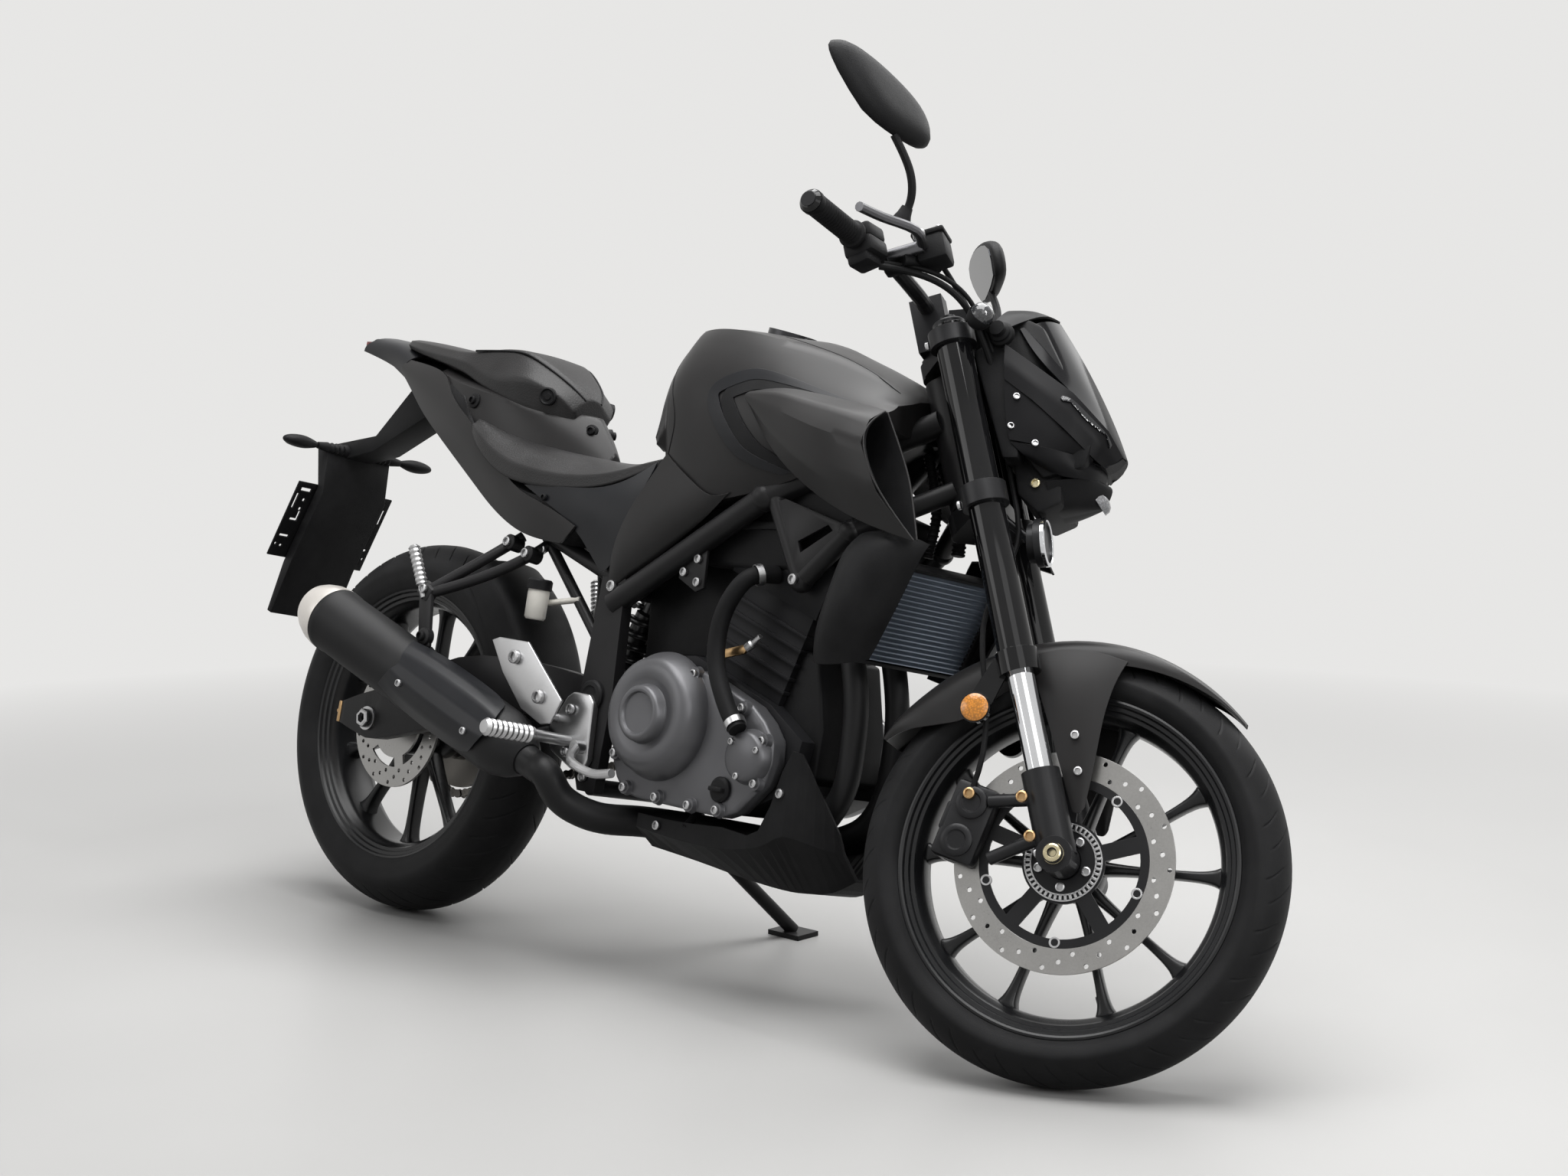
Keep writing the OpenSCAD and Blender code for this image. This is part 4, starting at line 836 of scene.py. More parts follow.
@dataclass
class Wheel:
    """One cast wheel with its tyre and disc, drawn about its axle."""

    bench: Bench
    name: str
    half_section: Sequence[Flat]
    rim_half: float
    hub_r: float
    hub_half: float
    disc_r: float
    disc_y: float
    disc_band: float
    long_sipe: Flat
    short_sipe: Flat
    rim_r: float = 230.0
    pairs: int = 5
    columns: int = 864
    pitch: int = 36
    sipe_depth: float = 2.6
    sipe_slant: float = 0.9
    hole_r: float = 3.4
    hole_count: int = 15
    hole_lag: float = 0.36
    hole_shares: Point = (0.22, 0.5, 0.78)
    bobbin_r: float = 0.0
    tooth_count: int = 44
    spoke_spread_deg: Flat = (10.0, 16.5)
    # Spoke: share of its length, width, depth
    spoke_rows: Sequence[Point] = (
        (0.0, 25, 38), (0.10, 17, 35), (0.35, 13, 30), (0.65, 12, 28), (0.86, 15, 28), (0.95, 25, 32),
        (1.0, 40, 36))
    # Spoke's corners: shares of half its width and half its depth
    spoke_corners: Sequence[Flat] = (
        (1, 0.55), (0.72, 1), (-0.72, 1), (-1, 0.55), (-1, -0.55), (-0.72, -1), (0.72, -1), (1, -0.55))

    def build(self) -> None:
        """Makes the wheel's pieces."""
        self.tyre()
        self.rim()
        self.disc()

    def tyre(self) -> None:
        """The tyre, its section spun round and slanted sipes sunk into the tread."""
        side = [tuple(p) for p in eased(self.half_section, 3)]
        bead = side[0]
        section = side + [(r, -y) for r, y in reversed(side[:-1])]
        section += [(bead[0] - 4.0, -bead[1] + 5.0), (bead[0] - 4.0, bead[1] - 5.0), bead]
        piece = self.bench.lathe(f"{self.name}_tyre_tread", section, self.columns)
        self.slant(piece)
        self.bench.done(piece, TYRE, [f"{self.name}_tyre"], Edge.ROUND)

    def slant(self, piece: Piece) -> None:
        """Shears the tyre's columns along the sipes and sinks the columns that are sipes."""
        widest_r, widest = max(self.half_section, key=lambda p: p[1])
        step = 2.0 * math.pi / self.columns
        for vert in piece.data.vertices:
            x, y, z = vert.co
            r, v = math.hypot(x, z), abs(y)
            angle = math.atan2(z, x)
            column = round(angle / step) + (self.pitch // 4 if y > 0.0 else 0)
            reach = v if r > widest_r else widest
            angle -= self.sipe_slant * reach / widest_r
            low, high = {0: self.long_sipe, self.pitch // 2: self.short_sipe}.get(
                column % self.pitch, (1.0, 0.0))
            if low < v < high and r > widest_r:
                r -= self.sipe_depth
            vert.co = (r * math.cos(angle), y, r * math.sin(angle))

    def rim(self) -> None:
        """The cast rim: stepped lips, five pairs of spokes, hub and valve."""
        b, r, f = self.bench, self.rim_r, self.rim_half + 6.0
        lips = [(r + 3, f - 3), (r + 2, f + 0.5), (r - 1, f + 1.5), (r - 4, f), (r - 6, f - 4),
                (r - 11, f - 5), (r - 13, f - 9), (r - 18, f - 10), (r - 21, f - 16), (r - 26, f - 21),
                (r - 29, f - 30)]
        ring = b.lathe("ring", lips + [(q, -y) for q, y in reversed(lips)] + lips[:1], 192)
        h, w = self.hub_r, self.hub_half
        hub = b.lathe(
            "hub", [(9, w), (h * 0.55, w), (h * 0.6, w - 5), (h * 0.92, w - 12), (h, w - 20), (h, 10),
            (h * 0.9, 0), (h, -10), (h, 16 - w), (h * 0.92, 9 - w), (h * 0.6, 2 - w), (h * 0.55, -w),
            (9, -w), (9, w)], 96)
        spokes = [b.copies("spokes", self.spoke(side), around(self.pairs)) for side in SIDES]
        valve = b.tube("valve", [(0, 0, 26 - r), (0, -6, 56 - r)], 4.0, soft=False)
        piece = b.join(f"{self.name}_rim_cast", ring, hub, *spokes, valve)
        b.done(piece, WHEEL, [f"{self.name}_rim"])

    def spoke(self, side: int) -> Piece:
        """One rounded spoke that swells into the hub and flares into the rim."""
        inner, outer = (math.radians(side * spread) for spread in self.spoke_spread_deg)
        start = Vector((math.cos(inner), 0, math.sin(inner))) * (self.hub_r - 8.0)
        end = Vector((math.cos(outer), 0, math.sin(outer))) * (self.rim_r - 24.0)
        way = (end - start).normalized()
        cross = Vector((-way.z, 0.0, way.x))
        rings = []
        for t, wide, deep in self.spoke_rows:
            middle = start.lerp(end, t)
            rings.append([tuple(middle + cross * (a * wide / 2) + Vector((0, c * deep / 2, 0)))
                          for a, c in self.spoke_corners])
        return self.bench.loft("spoke", rings, 2)

    def disc(self) -> None:
        """The brake disc with three rows of drilled holes."""
        b = self.bench
        piece = b.node_copy(f"{self.name}_disc")
        bpy.ops.mesh.primitive_cylinder_add(
            vertices=14, radius=self.hole_r, depth=24.0, rotation=(math.pi / 2, 0, 0),
            location=(0, self.disc_y, 0))
        hole = bpy.context.object
        bpy.ops.object.transform_apply(location=True, rotation=True)
        inner = self.disc_r - self.disc_band
        places = [turn @ Matrix.Translation((inner + self.disc_band * share, 0.0, 0.0))
                  for row, share in enumerate(self.hole_shares)
                  for turn in around(self.hole_count, row * self.hole_lag)]
        piece = b.cut(piece, b.copies("holes", hole, places))
        piece.name = f"{self.name}_disc_drilled"
        b.done(piece, DISC_STEEL, [f"{self.name}_disc"])
        if self.bobbin_r:
            self.disc_fittings()

    def disc_fittings(self) -> None:
        """The floating disc's bobbins, the carrier's bolts and the slotted sensor ring."""
        b, y = self.bench, self.disc_y
        turns = around(self.pairs, 0.5)
        bobbin = b.lathe("bobbin", [(0, -2.7), (7.5, -2.7), (7.5, 2.7), (5.5, 3.0), (4.5, 2.0), (0, 2.0)], 28,
                         (self.bobbin_r, y, 0), RIGHT)
        b.done(b.copies("disc_bobbins", bobbin, turns), ALLOY)
        heads = [(tuple(turn @ Vector((34.0, y - 2.2, 0.0))), RIGHT, 6.5) for turn in turns]
        b.done(b.bolts("carrier_bolts", heads), ALLOY)
        bands = [b.lathe("band", [(r, -4.2), (r + 2, -4.2), (r + 2, -2), (r, -2), (r, -4.2)], 96, (0, y, 0))
                 for r in (43.0, 51.0)]
        tooth = b.block("tooth", (48, y - 3.1, 0), (8, 2.2, 3.4), 0.2)
        teeth = b.copies("teeth", tooth, around(self.tooth_count))
        b.done(b.join("sensor_ring", *bands, teeth), ALLOY)


@dataclass
class FrontEnd:
    """What the fork carries in front: fender, headlamp mask and mirrors."""

    bench: Bench
    fender_steps: int = 3
    screw_r: float = 6.0
    mirror_sweep: float = 0.38

    # Fender: angle round the axle, crown radius, half width, edge radius, crown lift
    fender_rows: Sequence[Sequence[float]] = (
        (27, 303, 10, 300, 2), (33, 305, 28, 299, 3), (44, 308, 46, 291, 4), (58, 311, 58, 280, 5),
        (76, 313, 64, 266, 6), (98, 315, 65.5, 246, 6), (112, 317, 65.5, 240, 5), (121, 318, 64, 262, 5),
        (128, 320, 55, 292, 4), (133, 321, 40, 309, 3))
    # Mirror head: across and up the fork
    mirror_outline: Sequence[Flat] = (
        (222, 986), (214, 1012), (218, 1036), (240, 1056), (268, 1071), (306, 1086), (346, 1098),
        (378, 1102), (400, 1098), (406, 1082), (396, 1058), (376, 1030), (352, 1004), (322, 992),
        (288, 987), (252, 984))

    def build(self) -> None:
        """Makes all of the front end's own pieces."""
        self.fender()
        self.mask()
        self.mirrors()

    def fender(self) -> None:
        """The front fender: a crowned shell, skirts down to the axle and two bolts a side."""
        b = self.bench
        grid = []
        for angle, crown, half, edge, lift in eased(self.fender_rows, self.fender_steps):
            drop = crown - edge
            arc = ((-1.0, edge), (-0.985, crown - drop * 0.55), (-0.9, crown - drop * 0.12 - lift),
                   (-0.55, crown - lift * 0.35), (0.0, crown + 1.0))
            grid.append(arch(angle, [(share * half, radius) for share, radius in arc]))
        shell = b.panel("fender_shell", grid, 2.6, 1, pair=False)
        b.done(shell, SATIN, ["front_fender"], Edge.SOFT)
        skirt = [[(10, 64, 286), (56, 64, 288), (108, 62, 268), (140, 61, 246)],
                 [(16, 74, 236), (54, 78, 240), (92, 74, 232), (118, 68, 222)],
                 [(22, 82, 176), (48, 85, 178), (74, 83, 176), (92, 79, 172)],
                 [(26, 84, 112), (44, 86, 112), (58, 85, 112), (70, 82, 112)],
                 [(29, 83, 58), (35, 84, 54), (40, 84, 55), (45, 82, 60)]]
        b.done(b.panel("fender_skirts", skirt, 2.6, 2), SATIN, edge=Edge.SOFT)
        screws = [(54, 86.5, 158, self.screw_r), (48, 86.5, 109, self.screw_r)]
        b.done(b.bolts("fender_bolts", both_sides(screws)), ALLOY)

    def mask(self) -> None:
        """The headlamp mask: gloss blade, satin cheeks with light eyes, flanks, lip, chin and visor."""
        b = self.bench
        blade = [[(141, 0, 776), (160, 0, 716), (176, 0, 650), (187, 0, 590), (191, 0, 548)],
                 [(128, 40, 772), (148, 48, 710), (168, 46, 644), (183, 30, 586), (190, 8, 548)],
                 [(93, 74, 754), (108, 88, 700), (146, 84, 636), (178, 54, 580), (188, 15, 547)]]
        b.done(b.panel("mask_blade", blade, levels=3), LAMP_GLOSS, ["headlamp_mask"], Edge.SOFT)
        strip = [[(72, 99, 727), (108, 98, 682), (149, 87, 633), (181, 55, 577), (188, 17, 549)],
                 [(66, 104, 700), (100, 104, 658), (138, 94, 610), (168, 62, 560), (178, 26, 541)],
                 [(62, 103, 674), (94, 104, 632), (126, 93, 584), (154, 58, 541), (162, 30, 535)]]
        cheeks = b.panel("mask_cheeks", strip, crease_deg=12.0)
        eyes = b.laid(
            "mask_eyes", cheeks, [((133, 97, 628), 2), ((140, 92, 620), 8), ((158, 76, 590), 9),
            ((172, 56, 566), 8), ((177, 47, 558), 3)], 2.0)
        b.done(cheeks, MASK_SATIN, edge=Edge.CRISP)
        b.done(eyes, SMOKED, edge=Edge.SOFT)
        flank = [[(62, 101, 676), (94, 102, 632), (126, 91, 584), (153, 56, 542)],
                 [(52, 99, 630), (80, 101, 604), (112, 92, 572), (150, 52, 541)],
                 [(50, 95, 588), (74, 97, 576), (104, 88, 560), (148, 47, 540)]]
        b.done(b.panel("mask_flanks", flank), MASK_SATIN, edge=Edge.CRISP)
        lip = [[(50, 93, 586), (84, 97, 570), (120, 84, 553), (154, 42, 543), (160, 0, 542)],
               [(62, 92, 566), (92, 90, 545), (126, 72, 532), (152, 42, 528), (158, 0, 528)],
               [(76, 78, 552), (102, 70, 527), (128, 58, 520), (146, 40, 518), (150, 0, 518)]]
        b.done(b.panel("mask_lip", lip), MASK_SATIN, edge=Edge.FIRM)
        chin = [[(84, 66, 526), (118, 62, 522), (148, 42, 519), (156, 0, 519)],
                [(80, 52, 504), (118, 46, 502), (158, 22, 512), (166, 0, 513)],
                [(84, 38, 490), (104, 32, 489), (140, 18, 488), (146, 0, 488)],
                [(84, 0, 492), (104, 0, 490), (140, 0, 489), (145, 0, 489)]]
        b.done(b.panel("mask_chin", chin), PLASTIC, edge=Edge.FIRM)
        visor = [
            [(141, 0, 780), (118, 0, 796), (84, 0, 806)], [(132, 36, 779), (116, 40, 793), (82, 40, 802)],
            [(112, 66, 768), (100, 68, 780), (74, 64, 788)], [(82, 84, 756), (72, 80, 768), (60, 72, 776)]]
        b.done(b.panel("mask_visor", visor), MASK_SATIN, edge=Edge.FIRM)
        under = [[(188, 17, 547), (178, 26, 540), (164, 34, 535), (150, 46, 541)],
                 [(190, 0, 547), (178, 0, 539), (164, 0, 534), (150, 0, 540)]]
        b.done(b.panel("mask_nose", under, 2.0, 2), MASK_SATIN, edge=Edge.FIRM)
        back = [(60, 770), (100, 776), (126, 750), (150, 640), (164, 570), (140, 530), (80, 530), (50, 590)]
        core = b.plate("core", back, -70, 70, 6.0)
        rear = b.plate("rear", [(24, 734), (70, 744), (76, 640), (56, 560), (34, 566)], -92, 92, 5.0)
        bracket = b.plate(
            "bracket", [(44, 592), (84, 572), (106, 532), (98, 492), (62, 486), (40, 520)], -60, 60, 5.0)
        b.done(b.join("mask_core", rear, bracket, core), PLASTIC)
        lens = b.lathe("headlamp_glass", [(0, 13), (10, 12), (18, 9), (22, 4), (23, -3), (0, -3)], 48,
                       (141, 0, 502), (0.951, 0, 0.309))
        b.done(lens, CLEAR, ["headlamp_lens"], Edge.ROUND)
        b.done(b.bolts("mask_gold_bolts", both_sides([(68, 60, 528, 7)])), ZINC)
        boot = b.lathe(
            "signal_boots", [(0, -4), (18, -4), (18, 3), (15, 6), (15, 10), (11, 13), (11, 22), (0, 22)],
            32, (70, 96, 744), (-0.1, 1, 0.15))
        b.done(b.pair(boot), RUBBER)
        b.done(b.lathe("horn_ring", [(30, -2), (34.6, -2), (34.6, 3), (31, 4.4), (29, 3), (30, -2)], 48,
                       (62, -40, 448), (0.98, 0, -0.17)), CHROME)
        marks = both_sides([(73, 102, 644, 5), (84, 98, 571, 5), (56, 97, 606, 5)], (0.3, 1, 0.1))
        b.done(b.bolts("mask_bolts", marks), ALLOY)

    def mirrors(self) -> None:
        """The mirror heads: a crowned shell and a flat glass behind it."""
        b = self.bench
        count = len(self.mirror_outline)
        middle = [sum(column) / count for column in zip(*self.mirror_outline)]

        def ring(share: float, u: float) -> list[Point]:
            """The outline shrunk to a share about its middle, at a place along the bike."""
            return [(6.0 + u - (y - middle[0]) * share * self.mirror_sweep,
                     middle[0] + (y - middle[0]) * share,
                     middle[1] + (s - middle[1]) * share) for y, s in self.mirror_outline]

        shell = b.loft(
            "mirror_heads", [ring(0.9, -8), ring(0.99, -7), ring(1.0, -1), ring(0.96, 9), ring(0.8, 17),
            ring(0.5, 21)], 1)
        b.done(b.pair(shell), PLASTIC, ["mirrors"], Edge.SOFT)
        glass = b.loft("mirror_glass", [ring(0.88, -9), ring(0.88, -7)], 0)
        b.done(b.pair(glass), MIRROR)
        stem = b.tube(
            "mirror_stems", [(-14, 236, 886), (2, 240, 900), (16, 254, 924), (18, 270, 956),
            (10, 288, 990)], 6)
        boot = b.lathe("boot", [(0, -2), (13, -2), (13, 4), (10, 12), (8, 22), (0, 22)], 32, (-14, 236, 886),
                       (0.62, 0.16, 0.76))
        b.done(b.pair(b.join("mirror_stems", boot, stem)), PLASTIC)


@dataclass
class Bodywork:
    """The painted and padded skin: tank, scoops, knee panels, tail and seats."""

    bench: Bench
    screw_r: float = 7.0
    plate_at: Point = (-352.0, 0.0, 640.0)
    plate_tilt_deg: float = 24.0
    # Slots of the plate holder: across, up, width, height
    plate_slots: Sequence[Sequence[float]] = (
        (84, 50, 22, 7), (97, 26, 5, 30), (80, 30, 6, 6), (80, 12, 6, 6), (84, -10, 16, 5), (78, -2, 5, 20),
        (88, -44, 20, 5), (98, -62, 5, 5), (86, -64, 6, 5))
    leaf_at: Flat = (-320.0, 772.0)
    # Leaf of a rear signal: across, half width, half height
    leaf_rows: Sequence[Point] = (
        (92, 5, 5), (104, 9, 8), (122, 16, 13), (144, 17, 12), (160, 12, 8), (167, 4, 3))
    # Trim band: place on the tank and half its width
    band_path: Strip = (
        ((975, 120, 894), 3), ((880, 130, 913), 7), ((800, 132, 925), 10), ((772, 132, 923), 11),
        ((728, 140, 905), 12), ((712, 142, 893), 12), ((716, 144, 876), 12), ((738, 147, 845), 11),
        ((772, 148, 812), 10), ((790, 149, 800), 9), ((815, 149, 790), 8), ((897, 148, 765), 4))
    # Dark step between the band and the scoop
    inner_path: Strip = (
        ((960, 128, 888), 4), ((870, 136, 903), 8), ((806, 138, 911), 11), ((786, 139, 909), 12),
        ((752, 143, 896), 13), ((742, 144, 886), 13), ((748, 146, 872), 13), ((772, 149, 842), 13),
        ((806, 149, 812), 12), ((830, 149, 800), 10), ((905, 148, 772), 6))
    # Seams of the tank's covers
    seam_paths: Grid = (
        ((600, 60, 998), (598, 86, 962), (604, 104, 925), (622, 128, 880), (640, 132, 845), (618, 131, 795)),
        ((618, 131, 795), (655, 138, 771), (695, 140, 750), (728, 136, 728)),
        ((760, 62, 1000), (817, 70, 982), (860, 70, 976), (895, 66, 968), (950, 62, 942), (1000, 56, 915)))

    # Tank: along, then (across, up) points from the top's middle to the bottom's middle
    tank_rows: Rings = (
        (500, ((0, 850), (28, 848), (40, 844), (48, 838), (50, 830), (46, 820), (30, 812), (0, 810))),
        (545, ((0, 925), (52, 920), (68, 905), (80, 885), (86, 862), (80, 830), (50, 806), (0, 804))),
        (585, ((0, 988), (76, 978), (98, 950), (116, 918), (124, 886), (112, 840), (60, 800), (0, 798))),
        (608, ((0, 1004), (84, 996), (112, 960), (130, 922), (138, 890), (134, 838), (120, 765), (0, 762))),
        (640, ((0, 1010), (92, 1000), (124, 958), (140, 920), (146, 888), (142, 830), (130, 750), (0, 748))),
        (700, ((0, 1011), (98, 998), (130, 952), (143, 908), (150, 880), (147, 822), (134, 722), (0, 720))),
        (760, ((0, 1006), (98, 988), (130, 940), (143, 900), (150, 872), (147, 812), (130, 735), (0, 733))),
        (820, ((0, 996), (88, 979), (124, 930), (140, 893), (148, 866), (144, 810), (127, 750), (0, 750))),
        (880, ((0, 981), (76, 968), (116, 918), (134, 886), (140, 862), (136, 815), (118, 774), (0, 780))),
        (940, ((0, 958), (66, 948), (106, 905), (122, 880), (126, 862), (116, 838), (98, 820), (0, 818))),
        (990, ((0, 934), (56, 926), (100, 900), (114, 882), (116, 868), (106, 852), (80, 842), (0, 840))),
        (1030, ((0, 914), (40, 908), (90, 892), (108, 880), (110, 870), (100, 860), (60, 852), (0, 850))))
    # Scoop: rows of five from the top edge to the bottom edge, from the tip to the inlet
    scoop_rows: Grid = (
        ((789, 148, 893), (786, 151, 890), (785, 152, 887), (786, 151, 883), (789, 148, 880)),
        ((850, 140, 905), (848, 157, 894), (848, 165, 872), (850, 162, 842), (846, 150, 816)),
        ((925, 136, 895), (912, 161, 882), (908, 178, 856), (912, 173, 810), (905, 151, 776)),
        ((985, 138, 887), (972, 166, 873), (960, 187, 842), (975, 180, 786), (985, 155, 738)),
        ((1030, 142, 880), (1020, 168, 865), (1010, 189, 832), (1035, 184, 772), (1070, 158, 712)),
        ((1057, 146, 875), (1049, 167, 858), (1055, 185, 824), (1094, 181, 757), (1157, 160, 697)))
    # Tail band: rows from the tail's tip to the side's front end, low to high
    band_rows: Grid = (
        ((-156, 58, 916), (-160, 60, 927), (-136, 58, 937)),
        ((-110, 66, 884), (-92, 76, 907), (-62, 72, 927)),
        ((-65, 72, 846), (-32, 88, 880), (8, 85, 912)),
        ((10, 84, 803), (38, 98, 836), (32, 96, 874)),
        ((83, 95, 762), (106, 107, 796), (108, 106, 832)),
        ((150, 104, 724), (170, 115, 756), (176, 114, 788)),
        ((210, 112, 689), (230, 123, 718), (244, 123, 742)),
        ((289, 118, 654), (300, 130, 686), (304, 130, 714)),
        ((360, 122, 645), (372, 133, 676), (366, 133, 701)),
        ((406, 126, 643), (428, 132, 657), (440, 132, 671)))
    # Knee panel: rows from the top edge to the bottom edge
    knee_rows: Grid = (
        ((618, 130, 796), (656, 138, 774), (696, 140, 753), (730, 136, 733), (764, 133, 744)),
        ((587, 134, 747), (620, 140, 730), (655, 141, 712), (690, 134, 698), (712, 121, 704)),
        ((550, 135, 690), (575, 139, 680), (605, 139, 668), (632, 131, 656), (650, 119, 660)),
        ((530, 131, 635), (545, 134, 630), (562, 133, 624), (580, 127, 618), (592, 118, 620)),
        ((526, 121, 588), (531, 121, 586), (538, 120, 587), (546, 118, 592), (556, 116, 600)))
    # Panel between the seat and the knee panel: rows from the seat's edge to the tip
    seat_side_rows: Grid = (
        ((300, 129, 730), (380, 129, 732), (466, 124, 732), (520, 113, 749), (572, 104, 784)),
        ((362, 131, 704), (420, 131, 702), (480, 131, 706), (540, 128, 722), (585, 130, 748)),
        ((438, 129, 673), (470, 130, 670), (500, 131, 670), (526, 132, 676), (542, 132, 676)),
        ((500, 119, 606), (508, 121, 607), (516, 123, 609), (523, 125, 613), (528, 126, 618)))

    # Cowl under the pillion seat: along, then (across, up) from the top's middle down
    under_rows: Rings = (
        (-30, ((0, 930), (64, 926), (76, 918), (80, 890), (76, 840), (0, 830))),
        (60, ((0, 906), (84, 902), (97, 892), (100, 862), (96, 812), (0, 790))),
        (155, ((0, 890), (84, 886), (98, 878), (100, 850), (98, 800), (0, 780))),
        (220, ((0, 876), (60, 872), (76, 860), (84, 835), (86, 785), (0, 770))),
        (270, ((0, 870), (36, 866), (52, 856), (62, 830), (66, 782), (0, 768))),
        (312, ((0, 864), (8, 862), (20, 850), (38, 826), (48, 782), (0, 766))),
        (345, ((0, 828), (6, 826), (14, 818), (24, 804), (32, 778), (0, 764))),
        (364, ((0, 804), (4, 802), (8, 796), (14, 788), (20, 774), (0, 764))))
    # Seats: rows as the cowl's
    rider_rows: Rings = (
        (122, ((0, 846), (70, 842), (100, 836), (112, 826), (110, 812), (0, 806))),
        (150, ((0, 842), (74, 838), (108, 828), (122, 808), (120, 786), (0, 780))),
        (218, ((0, 822), (70, 816), (108, 800), (131, 776), (130, 746), (0, 742))),
        (290, ((0, 806), (64, 799), (108, 784), (135, 758), (134, 730), (0, 726))),
        (360, ((0, 796), (58, 789), (102, 774), (133, 752), (132, 727), (0, 724))),
        (430, ((0, 791), (50, 786), (90, 772), (125, 752), (125, 729), (0, 726))),
        (485, ((0, 792), (44, 789), (76, 780), (110, 764), (112, 742), (0, 736))),
        (530, ((0, 800), (38, 798), (64, 794), (92, 784), (96, 768), (0, 752))),
        (552, ((0, 806), (32, 805), (54, 802), (74, 795), (78, 784), (0, 768))))
    pillion_rows: Rings = (
        (-170, ((0, 982), (26, 981), (40, 976), (46, 968), (42, 962), (0, 960))),
        (-110, ((0, 978), (42, 976), (58, 969), (64, 956), (58, 948), (0, 946))),
        (-20, ((0, 966), (56, 964), (72, 956), (80, 942), (74, 930), (0, 928))),
        (50, ((0, 958), (64, 956), (80, 950), (90, 934), (84, 914), (0, 910))),
        (84, ((0, 962), (66, 960), (78, 954), (90, 920), (86, 898), (0, 893))),
        (140, ((0, 966), (66, 962), (76, 956), (96, 902), (90, 880), (0, 876))),
        (180, ((0, 965), (60, 961), (70, 954), (94, 906), (86, 866), (0, 862))),
        (212, ((0, 950), (50, 946), (60, 939), (90, 911), (78, 858), (0, 854))),
        (246, ((0, 930), (38, 927), (46, 920), (76, 898), (60, 850), (0, 848))),
        (272, ((0, 912), (26, 909), (34, 903), (62, 888), (46, 848), (0, 847))),
        (288, ((0, 893), (12, 890), (18, 886), (42, 866), (34, 850), (0, 849))))

    def build(self) -> None:
        """Makes all of the bodywork."""
        self.tank()
        self.scoops()
        self.knees()
        self.tail()
        self.seats()

    def tank(self) -> None:
        """The tank's skin with its crisp ridge, its seams, and the dark bands laid on each side."""
        b = self.bench
        skin = b.loft("tank_skin", rings_of(self.tank_rows), 2, 20.0, 0.75)
        band = b.laid("tank_bands", skin, self.band_path)
        inner = b.laid("tank_inner_bands", skin, self.inner_path, 1.0)
        seams = [
            b.laid("tank_seam", skin, [(spot, 0.9) for spot in line], 0.2, 0.8) for line in self.seam_paths]
        b.done(b.join("tank_seams", *seams), PLASTIC)
        b.done(skin, SATIN, ["fuel_tank"], Edge.FIRM)
        b.done(band, SATIN_DARK, edge=Edge.FIRM)
        b.done(inner, PLASTIC, edge=Edge.FIRM)

    def scoops(self) -> None:
        """The scoops: a creased outer skin that ends in an open inlet, and the inlet's inner wall."""
        b = self.bench
        b.done(b.panel("scoop_skins", self.scoop_rows, crease_deg=14.0), SATIN, ["tank_scoops"], Edge.CRISP)
        inner = [[(1054, 146, 872), (1047, 163, 857), (1052, 180, 824), (1092, 177, 758), (1152, 158, 699)],
                 [(1000, 138, 868), (985, 146, 850), (985, 150, 820), (1030, 150, 770), (1090, 150, 716)]]
        b.done(b.panel("scoop_throats", inner, 2.0, 2), PLASTIC)
        wall = [[(1056, 140, 874), (1102, 138, 806), (1132, 144, 752), (1158, 154, 698)],
                [(990, 128, 868), (1010, 132, 810), (1040, 138, 765), (1080, 144, 712)]]
        b.done(b.panel("scoop_walls", wall, 2.0, 2), PLASTIC)
        rims = [b.tube("rim", path, 1.7) for path in (self.scoop_rows[-1], wall[0])]
        b.done(b.pair(b.join("scoop_rims", *rims)), SATIN, edge=Edge.ROUND)

    def knees(self) -> None:
        """The knee panels below the tank, the panels beside the seat and the base behind them."""
        b = self.bench
        b.done(b.panel("knee_panels", self.knee_rows), SATIN, ["side_covers"], Edge.FIRM)
        b.done(b.panel("seat_side_panels", self.seat_side_rows), SATIN_DARK, edge=Edge.FIRM)
        base = [(380, 728), (470, 728), (520, 746), (580, 790), (645, 800), (645, 690), (560, 610),
                (520, 606), (440, 650), (372, 690)]
        b.done(b.plate("seat_base", base, -106, 106, 3.0), PLASTIC)
        b.done(b.bolts("seat_side_bolts", both_sides([(357, 133, 712, 5.5)])), PLASTIC)

